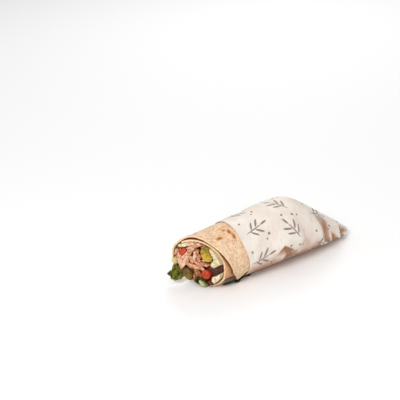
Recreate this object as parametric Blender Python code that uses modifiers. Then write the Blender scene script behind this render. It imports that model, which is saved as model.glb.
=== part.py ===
"""Half of a tuna wrap in its paper sleeve.

A wheat tortilla is rolled about one and a half turns round a filling of tuna flakes,
gherkin, tomato, egg, olive and lettuce.  The roll is cut on the slant at one end, and the
other end sits in a sleeve of greaseproof paper that is folded to a pointed tail.

Metres, +Z up.  The roll lies along X with its cut mouth at -X and the tail at +X, and it
rests on z = 0.  The near side, where the tortilla's outer end lies as a flap, is -Y.
"""
import math
import random

import bmesh
import bpy
from mathutils import Vector

MM = 0.001

# The roll is described by s, the distance along it from the rim's top, and by an angle phi
# in degrees that starts at the near side (-Y) and turns up over the top (90) to the far side.
ORIGIN_S = 74.96 * MM        # the frame's origin lies at this s, midway along the whole
ORIGIN_Y = 0.31 * MM         # and this far to the far side of the mouth's centre

# Outside of the paper: s, half width, half height, sideways shift, all in mm.
# Ahead of the sleeve's edge the same profile carries the bare tortilla.
PROFILE_MM = (
    (-15.0, 24.2, 24.2, 0.0),
    (0.0, 24.2, 24.2, 0.0),
    (35.0, 24.7, 24.7, 0.4),
    (55.0, 25.3, 24.9, 0.7),
    (72.0, 26.5, 26.0, 0.9),
    (88.0, 26.7, 26.2, 1.0),
    (96.0, 26.7, 26.2, 1.0),
    (104.5, 25.5, 24.7, 1.0),
    (114.0, 23.1, 21.8, 0.7),
    (124.0, 20.2, 18.0, 0.2),
    (136.0, 16.0, 13.2, -0.4),
    (149.0, 10.6, 8.3, -0.9),
    (157.0, 6.8, 5.1, -1.7),
    (162.4, 3.6, 2.8, -2.5),
)
MOUTH_RADIUS = 24.2 * MM     # the profile's radius at the mouth
FLAT_SINK = 0.9 * MM         # how far the round form is flattened where it rests
PAPER_STEP = 0.8 * MM        # the paper lifts the roll by this much behind its edge

PAPER = 0.45 * MM            # wall of the sleeve
GAP = 0.35 * MM              # between any two pieces that touch
TORTILLA = 1.6 * MM          # thickness of the tortilla
LAYER_GAP = 0.5 * MM         # between its two layers on the near side
MOUTH_GAP = 0.4 * MM         # the layers part by this much more at the mouth
ROLL_INSET = PAPER + GAP     # the roll's outside lies this far inside the profile

ROLL_END = 124.0 * MM        # far end of the rolled tortilla and of the filling
CAVITY_END = 125.5 * MM      # the sleeve is solid crumpled paper behind this
TAIL_TIP = 162.4 * MM

FLAP_PHI = -57.0             # the outer end of the tortilla, at the mouth
FLAP_PHI_BACK = -45.0        # and where it goes under the paper
INNER_PHI = 485.0            # the inner end of the tortilla, one and a half turns on
TUCK_START, TUCK_END = 268.0, 300.0   # the sheet steps in under its own flap here

# The slanted cuts: s = at + y * per_y + (z - centre) * per_z
CUT_FACE = (4.25 * MM, -0.45, -0.10)
CUT_RIM = (14.6 * MM, -0.2215, -0.439)
FLAP_REACH_BACK = 5.0 * MM   # the flap's corner lies further back than its plane
FLAP_DROOP = 2.0 * MM        # and hangs this far off the roll
DROOP_LENGTH = 8.0 * MM      # over this much of the flap's length
FAR_SETBACK = 1.0 * MM       # on the far side the tortilla's edge is level with the filling
LOWER_SETBACK = 3.0 * MM     # and lower down the filling bulges out past that edge
MOUTH_FLARE = 2.0 * MM       # the inner layer's edge spreads outwards below the flap by this
FLARE_PHI = (272.0, 292.0, 326.0, 350.0)   # where it starts, is full, falls and ends
FLARE_LENGTH = 9.0 * MM


# ------------------------------------------------------------------ the scene and its objects

def clear_scene():
    for item in list(bpy.data.objects):
        bpy.data.objects.remove(item, do_unlink=True)


def new_collection(name):
    collection = bpy.data.collections.new(name)
    bpy.context.scene.collection.children.link(collection)
    return collection


def material(name, colour, roughness):
    finish = bpy.data.materials.new(name)
    finish.use_nodes = True
    shader = finish.node_tree.nodes["Principled BSDF"]
    shader.inputs["Base Color"].default_value = (*colour, 1.0)
    shader.inputs["Roughness"].default_value = roughness
    shader.inputs["Metallic"].default_value = 0.0
    return finish


def mesh_object(name, bm, collection, finish=None):
    """Make an object from a bmesh, faces pointing out, smooth but for sharp edges."""
    bmesh.ops.recalc_face_normals(bm, faces=bm.faces)
    mesh = bpy.data.meshes.new(name)
    bm.to_mesh(mesh)
    bm.free()
    mesh.shade_smooth()
    mesh.set_sharp_from_angle(angle=math.radians(40))
    item = bpy.data.objects.new(name, mesh)
    collection.objects.link(item)
    if finish:
        mesh.materials.append(finish)
    return item


def loft(rings, start_centre=None, end_centre=None):
    """A closed body through rings of equal count; a given centre closes its end as a fan."""
    bm = bmesh.new()
    rows = [[bm.verts.new(point) for point in ring] for ring in rings]
    count = len(rows[0])
    for low, high in zip(rows, rows[1:]):
        for i in range(count):
            j = (i + 1) % count
            bm.faces.new((low[i], low[j], high[j], high[i]))
    for row, centre in ((rows[0], start_centre), (rows[-1], end_centre)):
        if centre is None:
            bm.faces.new(row)
        else:
            hub = bm.verts.new(centre)
            for i in range(count):
                bm.faces.new((row[i], row[(i + 1) % count], hub))
    return bm


def sheet(name, point_at, columns, rows, thickness, collection, finish, offset=-1.0, share_at=None):
    """A thin solid from a grid of points; both faces are split into triangles alike.

    With share_at, the wall at a column is that share of the thickness.
    """
    bm = bmesh.new()
    grid = [[bm.verts.new(point_at(u, v)) for v in rows] for u in columns]
    for left, right in zip(grid, grid[1:]):
        for j in range(len(rows) - 1):
            bm.faces.new((left[j], left[j + 1], right[j + 1]))
            bm.faces.new((left[j], right[j + 1], right[j]))
    mesh = bpy.data.meshes.new(name)
    bm.to_mesh(mesh)
    bm.free()
    item = bpy.data.objects.new(name, mesh)
    collection.objects.link(item)
    mesh.materials.append(finish)
    wall = item.modifiers.new("Wall", "SOLIDIFY")
    wall.thickness = thickness
    wall.offset = offset
    if share_at:
        group = item.vertex_groups.new(name="wall")
        for i, u in enumerate(columns):
            strip_of_points = list(range(i * len(rows), (i + 1) * len(rows)))
            group.add(strip_of_points, share_at(u), "REPLACE")
        wall.vertex_group = group.name
    mesh.shade_smooth()
    return item


def steps(start, stop, count):
    return [start + (stop - start) * i / count for i in range(count + 1)]


def smoothstep(low, high, value):
    t = min(1.0, max(0.0, (value - low) / (high - low)))
    return t * t * (3.0 - 2.0 * t)


def hump(start, full, falling, end, value):
    """Rises from 0 to 1 between start and full, and back to 0 between falling and end."""
    return smoothstep(start, full, value) * (1.0 - smoothstep(falling, end, value))


def mix(a, b, t):
    return a + (b - a) * t


# ------------------------------------------------------------------ the roll's form

# Shares of the length at which every piece has a ring; they lie closest where the roll tapers.
LENGTHS = (0.0, 0.08, 0.28, 0.40, 0.54, 0.67, 0.76, 0.84, 0.92, 1.0)


def profile_at(s):
    """Half width, half height and sideways shift at s, along a smooth curve."""
    table = PROFILE_MM
    s_mm = min(max(s / MM, table[0][0]), table[-1][0])
    k = 0
    while k < len(table) - 2 and table[k + 1][0] < s_mm:
        k += 1
    here, after = table[k], table[k + 1]
    before = table[max(k - 1, 0)]
    beyond = table[min(k + 2, len(table) - 1)]
    span = after[0] - here[0]
    t = (s_mm - here[0]) / span
    values = []
    for c in (1, 2, 3):
        slope_here = (after[c] - before[c]) / (after[0] - before[0]) * span
        slope_after = (beyond[c] - here[c]) / (beyond[0] - here[0]) * span
        value = ((2 * t ** 3 - 3 * t ** 2 + 1) * here[c] + (t ** 3 - 2 * t ** 2 + t) * slope_here
                 + (3 * t ** 2 - 2 * t ** 3) * after[c] + (t ** 3 - t ** 2) * slope_after)
        values.append(value * MM)
    return values


def centre_height(s):
    """Height of the section's centre: the bare mouth settles to the surface it lies on."""
    half_height = profile_at(s)[1]
    settle = PAPER_STEP * (1.0 - smoothstep(5 * MM, 33 * MM, s))
    return half_height - FLAT_SINK - settle


def roll_point(s, phi, inset=0.0, lowest=0.0):
    """The point at angle phi of the section at s, drawn in by inset."""
    half_width, half_height, shift = profile_at(s)
    turn = math.radians(phi)
    y = shift - (half_width - inset) * math.cos(turn)
    z = centre_height(s) + (half_height - inset) * math.sin(turn)
    return Vector((s - ORIGIN_S, y - ORIGIN_Y, max(z, lowest)))


def cut_at(plane, y, z):
    """Where a slanted cut meets the line at y, z, both measured from the mouth's centre."""
    at, per_y, per_z = plane
    return at + per_y * y + per_z * z


def mouth_edge(phi):
    """s of the tortilla's edge: the outer layer's rim, then the face that the inner turn ends at."""
    turn = math.radians(phi)
    y = -MOUTH_RADIUS * math.cos(turn)
    z = MOUTH_RADIUS * math.sin(turn)
    rim = cut_at(CUT_RIM, y, z) + FLAP_REACH_BACK * smoothstep(-22.0, FLAP_PHI, phi)
    far = FAR_SETBACK * smoothstep(140.0, 175.0, phi) * (1.0 - smoothstep(262.0, 318.0, phi))
    low = LOWER_SETBACK * smoothstep(196.0, 222.0, phi) * (1.0 - smoothstep(262.0, 318.0, phi))
    return mix(rim, cut_at(CUT_FACE, y, z) + far + low, smoothstep(80.0, 160.0, phi))


# ------------------------------------------------------------------ tortilla

def tortilla_inset(phi, from_edge):
    """How far the sheet's outside lies inside the profile, as it winds inwards."""
    inner = smoothstep(TUCK_START, TUCK_END, phi)
    parted = MOUTH_GAP * inner * (1.0 - smoothstep(0.0, 25 * MM, from_edge))
    droop = FLAP_DROOP * smoothstep(-25.0, FLAP_PHI, phi)
    droop *= 1.0 - smoothstep(0.0, DROOP_LENGTH, from_edge)
    flare = MOUTH_FLARE * hump(*FLARE_PHI, phi) * (1.0 - smoothstep(0.0, FLARE_LENGTH, from_edge))
    return ROLL_INSET + inner * (TORTILLA + LAYER_GAP) + parted - droop - flare


def tortilla_lowest(s):
    return ROLL_INSET * smoothstep(28 * MM, 36 * MM, s)


def tortilla_point(phi, t):
    """The sheet from its mouth edge (t = 0) to its far end (t = 1)."""
    edge = mouth_edge(phi)
    s = mix(edge, ROLL_END, t)
    flap_back = smoothstep(31 * MM, 41 * MM, s) * (FLAP_PHI_BACK - FLAP_PHI)
    swept = phi + flap_back * (1.0 - smoothstep(FLAP_PHI, -15.0, phi))
    return roll_point(s, swept, tortilla_inset(phi, s - edge), tortilla_lowest(s))


def build_tortilla(collection):
    finish = material("tortilla", (0.80, 0.60, 0.40), 0.75)
    turns = steps(FLAP_PHI, INNER_PHI, 50)
    return sheet("tortilla", tortilla_point, turns, LENGTHS, TORTILLA, collection, finish)


# ------------------------------------------------------------------ filling

def fill_inset(phi):
    """How far inside the profile the filling may reach, for phi between -57 and 303."""
    one_layer = ROLL_INSET + TORTILLA + GAP
    two_layers = one_layer + TORTILLA + LAYER_GAP + MOUTH_GAP
    doubled = 1.0 - smoothstep(128.0, 142.0, phi) + smoothstep(TUCK_START - 6, TUCK_END - 6, phi)
    lining = LEAF_ROOM * smoothstep(*LINING_RISE, phi) * (1.0 - smoothstep(*LINING_FALL, phi))
    rib = RIB * rib_share(phi, RIB_MARGIN)
    return mix(one_layer, two_layers, min(doubled, 1.0)) + lining + rib


LEAF = 0.7 * MM              # thickness of a lettuce leaf
LEAF_ROOM = LEAF + GAP + 0.15 * MM
LINING_RISE = (140.0, 150.0)   # the lettuce lining starts after this turn of the roll
LINING_FALL = (258.0, 266.0)   # and ends before this one


RIB = 1.7 * MM               # the lining leaf's pale rib thickens it by this much
RIB_PHI = 185.0
RIB_WIDTH = 12.0             # in degrees, to either side
RIB_MARGIN = 4.0             # the filling makes room for it over this much more


def rib_share(phi, margin=0.0):
    return max(0.0, 1.0 - ((phi - RIB_PHI) / (RIB_WIDTH + margin)) ** 2)


def phi_of(y, z):
    phi = math.degrees(math.atan2(z, -y))
    return phi + 360.0 if phi < FLAP_PHI else phi


def fill_point(y, z, t, proud=0.0, reach=1.0):
    """Carry a point y, z of the cut face along the roll, t = 0 at the face, 1 at the far end.

    The point keeps its place in the section as that tapers, and never leaves the tortilla.
    """
    phi = phi_of(y, z)
    inset = fill_inset(phi)
    radius = math.hypot(y, z)
    share = min(radius / (MOUTH_RADIUS - inset), reach)
    held = share * (MOUTH_RADIUS - inset)
    turn = math.radians(phi)
    y_held, z_held = -held * math.cos(turn), held * math.sin(turn)
    s = mix(cut_at(CUT_FACE, y_held, z_held) - proud, ROLL_END, t)
    half_width, half_height, shift = profile_at(s)
    y_there = shift - share * (half_width - inset) * math.cos(turn)
    z_there = centre_height(s) + share * (half_height - inset) * math.sin(turn)
    return Vector((s - ORIGIN_S, y_there - ORIGIN_Y, z_there))


CUT_CHAMFER = 0.006          # share of its length over which a cut end is rounded


def oval(centre_mm, half_sizes_mm, tilt, sides, squareness=1.0):
    """An oval outline in the face; tilt turns its long side, squareness under 1 fills corners."""
    (cy, cz), (long, short) = centre_mm, half_sizes_mm
    points = []
    for i in range(sides):
        turn = 2 * math.pi * i / sides
        c, s = math.cos(turn), math.sin(turn)
        along = long * math.copysign(abs(c) ** squareness, c)
        across = short * math.copysign(abs(s) ** squareness, s)
        lean = math.radians(tilt)
        points.append(((cy + along * math.cos(lean) - across * math.sin(lean)) * MM,
                       (cz + along * math.sin(lean) + across * math.cos(lean)) * MM))
    return points


def polygon(*points_mm):
    """An outline through points given in mm; a point past the tortilla is drawn in to it."""
    return [(y * MM, z * MM) for y, z in points_mm]


def grown(outline, by):
    """The outline moved outwards by a distance, along each corner's own normal."""
    count = len(outline)
    moved = []
    for i in range(count):
        before, here, after = outline[i - 1], outline[i], outline[(i + 1) % count]
        side_a = Vector((here[0] - before[0], here[1] - before[1])).normalized()
        side_b = Vector((after[0] - here[0], after[1] - here[1])).normalized()
        normal = Vector((side_a.y + side_b.y, -side_a.x - side_b.x)).normalized()
        spread = max(0.5, normal.dot(Vector((side_a.y, -side_a.x))))
        moved.append((here[0] + normal.x * by / spread, here[1] + normal.y * by / spread))
    return moved


def strip(name, outline, proud, dome, collection, finish=None, grow=0.0):
    """A strip of filling that runs the length of the roll.

    proud is how far it stands out of the cut face, dome how much more its middle does.
    With grow it is the pocket that the strip lies in, a little larger all round.
    """
    count = len(outline)
    middle = (sum(p[0] for p in outline) / count, sum(p[1] for p in outline) / count)
    reach = 1.0 if not grow else 1.0 + 1.2 * MM / MOUTH_RADIUS
    shape = grown(outline, grow) if grow else outline
    front = proud + grow

    def ring(t, scale=1.0, out=front):
        return [fill_point(mix(middle[0], p[0], scale), mix(middle[1], p[1], scale), t, out, reach)
                for p in shape]

    rings = [ring(0.0, 0.55, front + dome * 0.8), ring(0.0, 0.92, front + dome * 0.15)]
    rings += [ring(mix(CUT_CHAMFER, 1.0, t)) for t in LENGTHS]
    if grow:
        rings.append(ring(1.02))
    hub = fill_point(*middle, 0.0, front + dome, reach)
    return mesh_object(name, loft(rings, start_centre=hub), collection, finish)


# The strips: outline in the face in mm from the mouth's centre (y, then z), how far each
# stands proud of the cut, and how domed its end is.
STRIPS = {
    "gherkin_upper": (polygon(
        (-3.5, 9.3), (-3.7, 11.8), (-4.8, 14.5), (-6.8, 16.7), (-9.0, 17.1), (-10.2, 15.4),
        (-10.9, 12.5), (-11.7, 9.9), (-13.2, 7.7), (-13.3, 5.5), (-12.2, 3.5), (-10.0, 2.1),
        (-7.2, 2.0), (-5.0, 3.3), (-3.8, 5.9)), 0.6, 0.8),
    "egg_right": (polygon(
        (-11.3, 15.6), (-13.6, 14.0), (-15.9, 11.4), (-17.7, 8.4), (-18.9, 5.0), (-19.5, 1.6),
        (-17.9, 0.7), (-16.1, -0.4), (-14.5, -2.0), (-12.2, -2.9), (-10.7, -2.2), (-10.4, -0.4),
        (-11.0, 1.2), (-12.7, 3.0), (-13.9, 5.1), (-13.8, 7.9), (-12.3, 10.2), (-11.5, 12.6)),
        0.4, 0.5),
    "olive": (polygon(
        (-9.6, -5.4), (-10.2, -4.2), (-11.6, -3.6), (-14.0, -2.9), (-15.9, -1.3), (-17.6, -0.2),
        (-19.4, 0.5), (-19.4, -2.5), (-18.9, -4.9), (-17.0, -5.6), (-15.2, -6.7), (-13.2, -7.7),
        (-11.2, -8.0), (-10.0, -7.0)), -0.6, 0.3),
    "egg_lower": (polygon(
        (-9.5, -12.2), (-10.0, -10.4), (-11.4, -9.0), (-13.6, -8.4), (-15.6, -7.2), (-17.4, -6.2),
        (-18.9, -5.7), (-19.2, -8.5), (-17.4, -11.5), (-14.9, -13.6), (-12.4, -15.4),
        (-10.4, -15.4), (-9.5, -14.0)), 1.0, 0.6),
    "gherkin_lower": (oval((9.8, -12.6), (6.1, 3.6), 84, 14, 0.8), 1.6, 0.8),
    "tomato_upper": (polygon(
        (9.2, 8.2), (10.9, 6.2), (12.5, 4.0), (14.0, 2.8), (15.4, 3.3), (16.0, 4.9),
        (15.0, 7.0), (13.4, 9.4), (12.0, 11.2), (10.4, 12.1), (8.9, 11.5), (8.2, 10.1)), 0.8, 0.6),
    "tomato_lower": (polygon(
        (-1.7, -11.2), (-1.8, -9.2), (-2.9, -7.0), (-4.2, -5.2), (-5.8, -4.4), (-7.3, -4.9),
        (-8.4, -6.5), (-9.0, -8.2), (-8.2, -10.2), (-7.0, -12.2), (-5.2, -13.1), (-3.0, -12.7)),
        1.0, 0.7),
    "tomato_bottom": (polygon(
        (-6.5, -14.0), (-7.6, -13.8), (-8.5, -14.7), (-8.8, -16.1), (-8.5, -17.4), (-7.8, -17.9),
        (-7.3, -16.9), (-6.7, -15.5)), 0.4, 0.5),
    "egg_upper": (oval((9.9, 15.1), (6.7, 2.3), 152, 12, 0.85), 0.3, 0.4),
    "rib_bottom": (oval((-2.6, -17.9), (3.0, 1.7), 58, 12, 0.95), 2.6, 1.2),
}
FINISHES = {
    "gherkin": ((0.42, 0.36, 0.05), 0.35),
    "tomato": ((0.65, 0.10, 0.03), 0.3),
    "egg": ((0.80, 0.78, 0.62), 0.4),
    "olive": ((0.06, 0.02, 0.02), 0.3),
    "rib": ((0.62, 0.68, 0.42), 0.4),
}


def build_strips(collection):
    finishes = {kind: material(kind, *look) for kind, look in FINISHES.items()}
    for name, (outline, proud, dome) in STRIPS.items():
        finish = finishes[name.split("_")[0]]
        strip(name, outline, proud * MM, dome * MM, collection, finish)


# ------------------------------------------------------------------ lettuce

TONGUE = 9.5 * MM           # how far the lining's lower part hangs out of the mouth
LINING_BACK = 2.0 * MM       # elsewhere its edge stays this far behind the tortilla's
RIB_REACH = 3.6 * MM         # but its pale rib reaches this much further out


def lining_point(phi, t):
    """The leaf inside the far wall; the part with t under 0 hangs out over the tortilla's edge."""
    tongue = smoothstep(190.0, 206.0, phi) * (1.0 - smoothstep(216.0, 238.0, phi))
    start = mouth_edge(phi) - GAP + LINING_BACK * (1.0 - tongue) - RIB_REACH * rib_share(phi)
    out = -min(t, 0.0) * mix(0.5 * LINING_BACK, TONGUE, tongue)
    s = mix(start, ROLL_END, max(t, 0.0)) - out
    out *= tongue
    outside = fill_inset(phi) - RIB * rib_share(phi, RIB_MARGIN) - LEAF_ROOM + 0.2 * MM
    point = roll_point(s, phi, outside)
    frill = 1.3 * MM * math.sin(phi * 0.35) * smoothstep(0.0, 8 * MM, out)
    point.y += 0.28 * out + frill
    point.z += -0.62 * out + frill * 0.6
    return point


ARCH_CENTRE = (-1.6, -18.7)  # in the face, in mm from the mouth's centre
ARCH_WIDTH, ARCH_RISE = 5.4 * MM, 4.4 * MM
ARCH_ROOM = 0.8              # the tuna stays this many mm clear of it all round


def arch_point(turn_deg, t):
    """The leaf that arches over the pale rib at the bottom of the mouth."""
    turn = math.radians(turn_deg)
    ripple = 0.25 * MM * math.sin(turn_deg * 0.12)
    y = ARCH_CENTRE[0] * MM - (ARCH_WIDTH + ripple) * math.cos(turn)
    z = ARCH_CENTRE[1] * MM + (ARCH_RISE + ripple) * math.sin(turn)
    hang = mix(3.2 * MM, 2.2 * MM, abs(math.cos(turn)))
    return fill_point(y, z, t, hang)


# The leaf under the flap curls up twice: height, where that starts, is full, falls and ends, mm.
LEAF_CURLS = ((3.2, 20.0, 24.5, 27.0, 30.5), (2.2, 33.0, 37.0, 39.0, 46.0))


def under_point(u, v):
    """A leaf squeezed out under the flap: u along the roll, v from under it outwards."""
    s = mix(20.0 * MM, 49.0 * MM, u)
    bulge = math.sin(math.pi * u ** 0.65)
    outer = mix(-11.2 * MM, -15.2 * MM, bulge) + 0.4 * MM * math.sin(19.0 * u)
    y = mix(-9.3 * MM, outer, v)
    wave = 0.2 * MM * (1.0 + math.sin(21.0 * u + 2.0 * v)) * v
    curl = sum(height * MM * hump(*places, s / MM) for height, *places in LEAF_CURLS)
    z = 0.1 * MM + LEAF * 0.5 + wave + curl * smoothstep(0.5, 1.0, v)
    return Vector((s - ORIGIN_S, y - ORIGIN_Y, z))


def build_lettuce(collection):
    leaf = material("lettuce", (0.10, 0.20, 0.03), 0.5)
    tongue = steps(-1.0, -0.25, 3)
    thickest = LEAF + RIB

    def leaf_share(phi):
        return (LEAF + RIB * rib_share(phi)) / thickest

    sheet("lettuce_left", lining_point, steps(150, 256, 16), (*tongue, *LENGTHS), thickest,
          collection, leaf, share_at=leaf_share)
    sheet("lettuce_arch", arch_point, steps(4, 176, 8), LENGTHS, LEAF * 0.8, collection, leaf,
          offset=0.0)
    sheet("lettuce_under_flap", under_point, steps(0, 1, 14), steps(0, 1, 3),
          LEAF * 0.8, collection, leaf, offset=0.0)


# ------------------------------------------------------------------ tuna

TUNA_RECESS = 0.8 * MM       # the bare core lies this far behind the cut face
CORE_SIDES = 36
FLAKE_SEED = 12

# The flakes that show most, in mm from the mouth's centre: y, z, half length, half width,
# turn in the face in degrees, and how far out of the cut they stand.
LARGE_FLAKES = (
    (12.8, -1.2, 6.4, 2.3, 112, 1.2),
    (17.4, 1.6, 5.0, 2.0, 105, 0.8),
    (15.8, -5.0, 4.6, 1.9, 100, 1.0),
    (8.6, 2.4, 5.6, 1.9, 118, 1.4),
    (6.2, 7.8, 5.2, 2.1, 122, 1.0),
    (9.4, -4.2, 5.0, 1.8, 40, 0.9),
    (3.0, -4.6, 5.4, 2.0, 8, 1.0),
    (4.0, 1.6, 4.2, 1.7, 60, 0.9),
    (0.8, 5.6, 4.4, 1.8, 110, 1.0),
    (2.4, 11.4, 4.8, 1.8, 135, 0.8),
    (-2.4, 15.6, 4.6, 1.6, 160, 0.7),
    (4.8, 16.0, 4.4, 1.6, 150, 0.5),
    (-3.4, -1.4, 5.0, 1.9, 172, 0.8),
    (1.4, -1.0, 4.0, 1.6, 30, 1.1),
    (-9.6, 18.0, 3.6, 1.4, 155, 0.4),
    (3.6, -10.0, 4.6, 1.6, 75, 0.8),
    (4.6, -16.0, 4.6, 1.4, 95, 1.4),
    (0.4, -11.0, 3.8, 1.5, 50, 0.6),
    (19.2, -1.6, 3.8, 1.6, 95, 1.6),
    (18.2, 6.4, 3.6, 1.4, 120, 1.4),
    (-13.0, -16.0, 3.6, 1.2, 150, 0.5),
)
SMALL_FLAKES = 13            # more, smaller ones, scattered between those
SMALL_FIELD = ((-19.0, 21.0), (-20.0, 20.0))   # in mm: where their centres may lie
SMALL_APART = 3.1 * MM       # from one small flake to the next
SMALL_FROM_WALL = 1.2 * MM
SMALL_FROM_STRIP = 1.0 * MM


def tuna_core(collection, finish):
    """The body of the tuna: fills the roll behind the cut face, before the pockets are cut."""
    turns = [FLAP_PHI + 360.0 * i / CORE_SIDES for i in range(CORE_SIDES)]

    def ring(share, t, back):
        points = []
        for phi in turns:
            turn = math.radians(phi)
            radius = share * (MOUTH_RADIUS - fill_inset(phi))
            points.append(fill_point(-radius * math.cos(turn), radius * math.sin(turn), t, -back))
        return points

    rings = [ring(0.5, 0.0, TUNA_RECESS), ring(0.85, 0.0, TUNA_RECESS)]
    rings += [ring(1.0, mix(CUT_CHAMFER, 1.0, t), TUNA_RECESS) for t in LENGTHS]
    hub = fill_point(0.0, 0.0001 * MM, 0.0, -TUNA_RECESS)
    return mesh_object("tuna", loft(rings, start_centre=hub), collection, finish)


def flake(y, z, half_length, half_width, turn, proud, rng, collection):
    """One flake: a bent, tapered chunk with few sides, lying roughly in the cut face."""
    rings = []
    bend = rng.uniform(-0.25, 0.25)
    tip = rng.uniform(-0.6, 0.6) * MM
    for along, girth in ((-1.0, 0.42), (-0.55, 0.9), (0.1, 1.0), (0.65, 0.8), (1.0, 0.36)):
        ring = []
        for i in range(6):
            around = math.radians(60 * i + 30)
            across = half_width * girth * math.cos(around) + bend * half_width * along * along
            depth = 0.9 * half_width * girth * math.sin(around)
            lean = math.radians(turn)
            y_at = y + along * half_length * math.cos(lean) - across * math.sin(lean)
            z_at = z + along * half_length * math.sin(lean) + across * math.cos(lean)
            out = proud - 0.9 * half_width + depth + tip * along
            phi = phi_of(y_at, z_at)
            limit = (MOUTH_RADIUS - fill_inset(phi)) / math.hypot(y_at, z_at)
            shrink = min(1.0, limit * 0.985)
            ring.append(fill_point(y_at * shrink, z_at * shrink, 0.0, out))
        rings.append(ring)
    mesh_object("flake", loft(rings), collection)


def inside(outline, y, z, margin):
    """Whether a point lies in an outline that is grown by margin."""
    shape = grown(outline, margin)
    hit = False
    for (y1, z1), (y2, z2) in zip(shape, shape[1:] + shape[:1]):
        if (z1 > z) != (z2 > z) and y < (y2 - y1) * (z - z1) / (z2 - z1) + y1:
            hit = not hit
    return hit


def small_flake_places(rng):
    """Evenly scattered places in the tuna, clear of the strips and of the tortilla."""
    places = []
    tries = 0
    while len(places) < SMALL_FLAKES and tries < 4000:
        tries += 1
        y, z = (rng.uniform(*ends) * MM for ends in SMALL_FIELD)
        if math.hypot(y, z) > MOUTH_RADIUS - fill_inset(phi_of(y, z)) - SMALL_FROM_WALL:
            continue
        if any(inside(outline, y, z, SMALL_FROM_STRIP) for outline, _, _ in STRIPS.values()):
            continue
        if any(math.hypot(y - a, z - b) < SMALL_APART for a, b in places):
            continue
        places.append((y, z))
    return places


def use_collection(item, name, collection, operation):
    """Apply one Boolean with everything in a collection, then remove that collection."""
    cut = item.modifiers.new(name, "BOOLEAN")
    cut.operation = operation
    cut.operand_type = "COLLECTION"
    cut.collection = collection
    cut.solver = "MANIFOLD"
    bpy.context.view_layer.update()
    evaluated = item.evaluated_get(bpy.context.evaluated_depsgraph_get())
    joined = bpy.data.meshes.new_from_object(evaluated)
    item.modifiers.clear()
    item.data = joined
    for other in list(collection.objects):
        bpy.data.objects.remove(other, do_unlink=True)
    bpy.data.collections.remove(collection)


def keep_largest_body(item):
    """Drop loose scraps that cutting leaves beside the main body."""
    bm = bmesh.new()
    bm.from_mesh(item.data)
    unseen = set(bm.verts)
    bodies = []
    while unseen:
        stack = [unseen.pop()]
        body = set(stack)
        while stack:
            for edge in stack.pop().link_edges:
                for vert in edge.verts:
                    if vert in unseen:
                        unseen.remove(vert)
                        body.add(vert)
                        stack.append(vert)
        bodies.append(body)
    bodies.sort(key=lambda body: max(v.co.x for v in body) - min(v.co.x for v in body))
    for body in bodies[:-1]:
        bmesh.ops.delete(bm, geom=list(body), context="VERTS")
    bmesh.ops.triangulate(bm, faces=bm.faces)
    bm.to_mesh(item.data)
    bm.free()


def build_tuna(collection):
    rng = random.Random(FLAKE_SEED)
    core = tuna_core(collection, material("tuna", (0.62, 0.36, 0.25), 0.6))
    flakes = new_collection("flakes")
    for y, z, half_length, half_width, turn, proud in LARGE_FLAKES:
        flake(y * MM, z * MM, half_length * MM, half_width * MM, turn, proud * MM, rng, flakes)
    for y, z in small_flake_places(rng):
        flake(y, z, rng.uniform(2.4, 3.8) * MM, rng.uniform(0.9, 1.4) * MM,
              rng.uniform(60, 190), rng.uniform(0.2, 1.2) * MM, rng, flakes)
    use_collection(core, "Flakes", flakes, "UNION")
    pockets = new_collection("pockets")
    for name, (outline, proud, dome) in STRIPS.items():
        if name != "rib_bottom":
            strip(name + "_pocket", outline, (proud + 0.5) * MM, dome * MM, pockets, grow=GAP)
    arch_room = oval(ARCH_CENTRE, (ARCH_RISE / MM + ARCH_ROOM, ARCH_WIDTH / MM + ARCH_ROOM), 90, 14)
    strip("arch_pocket", arch_room, 5.0 * MM, 0.5 * MM, pockets, grow=GAP)
    use_collection(core, "Pockets", pockets, "DIFFERENCE")
    keep_largest_body(core)


# ------------------------------------------------------------------ paper sleeve

PAPER_SIDES = 40
PAPER_PHI = -49.5            # the sleeve's rings start here, so that one side lies flat below
# Soft folds in the paper: from (s in mm, phi) to (s in mm, phi), height and half width in mm.
FOLDS = (
    ((43, -26), (63, -16), 1.1, 5.0),
    ((63, -16), (72.5, 1), 1.8, 5.0),
    ((72.5, 1), (89.5, -24), 1.8, 5.0),
    ((89.5, -24), (117, -22), 1.2, 5.0),
    ((82, 52), (88, 26), 1.5, 7.0),
    ((88, 26), (91.5, 2), 1.8, 7.0),
    ((111, 44), (115, 21), 1.9, 7.0),
    ((115, 21), (115.6, 1), 2.6, 7.0),
    ((115.6, 1), (121, -30), 2.3, 6.0),
    ((127.6, 17), (130, -8), 2.4, 4.5),
    ((130, -8), (132, -28), 2.0, 4.0),
    ((143, 36), (144, -2), 2.3, 5.0),
    ((144, -2), (146.6, -22), 2.3, 4.0),
    ((98, 76), (104, 48), 0.8, 6.0),
    ((122, 62), (143, 36), 1.3, 5.0),
    ((131, 80), (141, 88), 0.9, 5.0),
    ((60, 130), (84, 160), 0.9, 5.0),
    ((84, 160), (118, 140), 1.0, 5.0),
    ((100, 195), (138, 170), 1.2, 5.0),
    ((48, 205), (90, 215), 0.8, 5.0),
    ((104, 95), (132, 112), 0.9, 5.0),
)


def paper_mouth(phi):
    """s of the sleeve's edge, a little further back low on the near side."""
    return 34.4 * MM + 5.2 * MM * (1.0 - smoothstep(-32.0, 42.0, phi if phi < 130 else 260 - phi))


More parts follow.
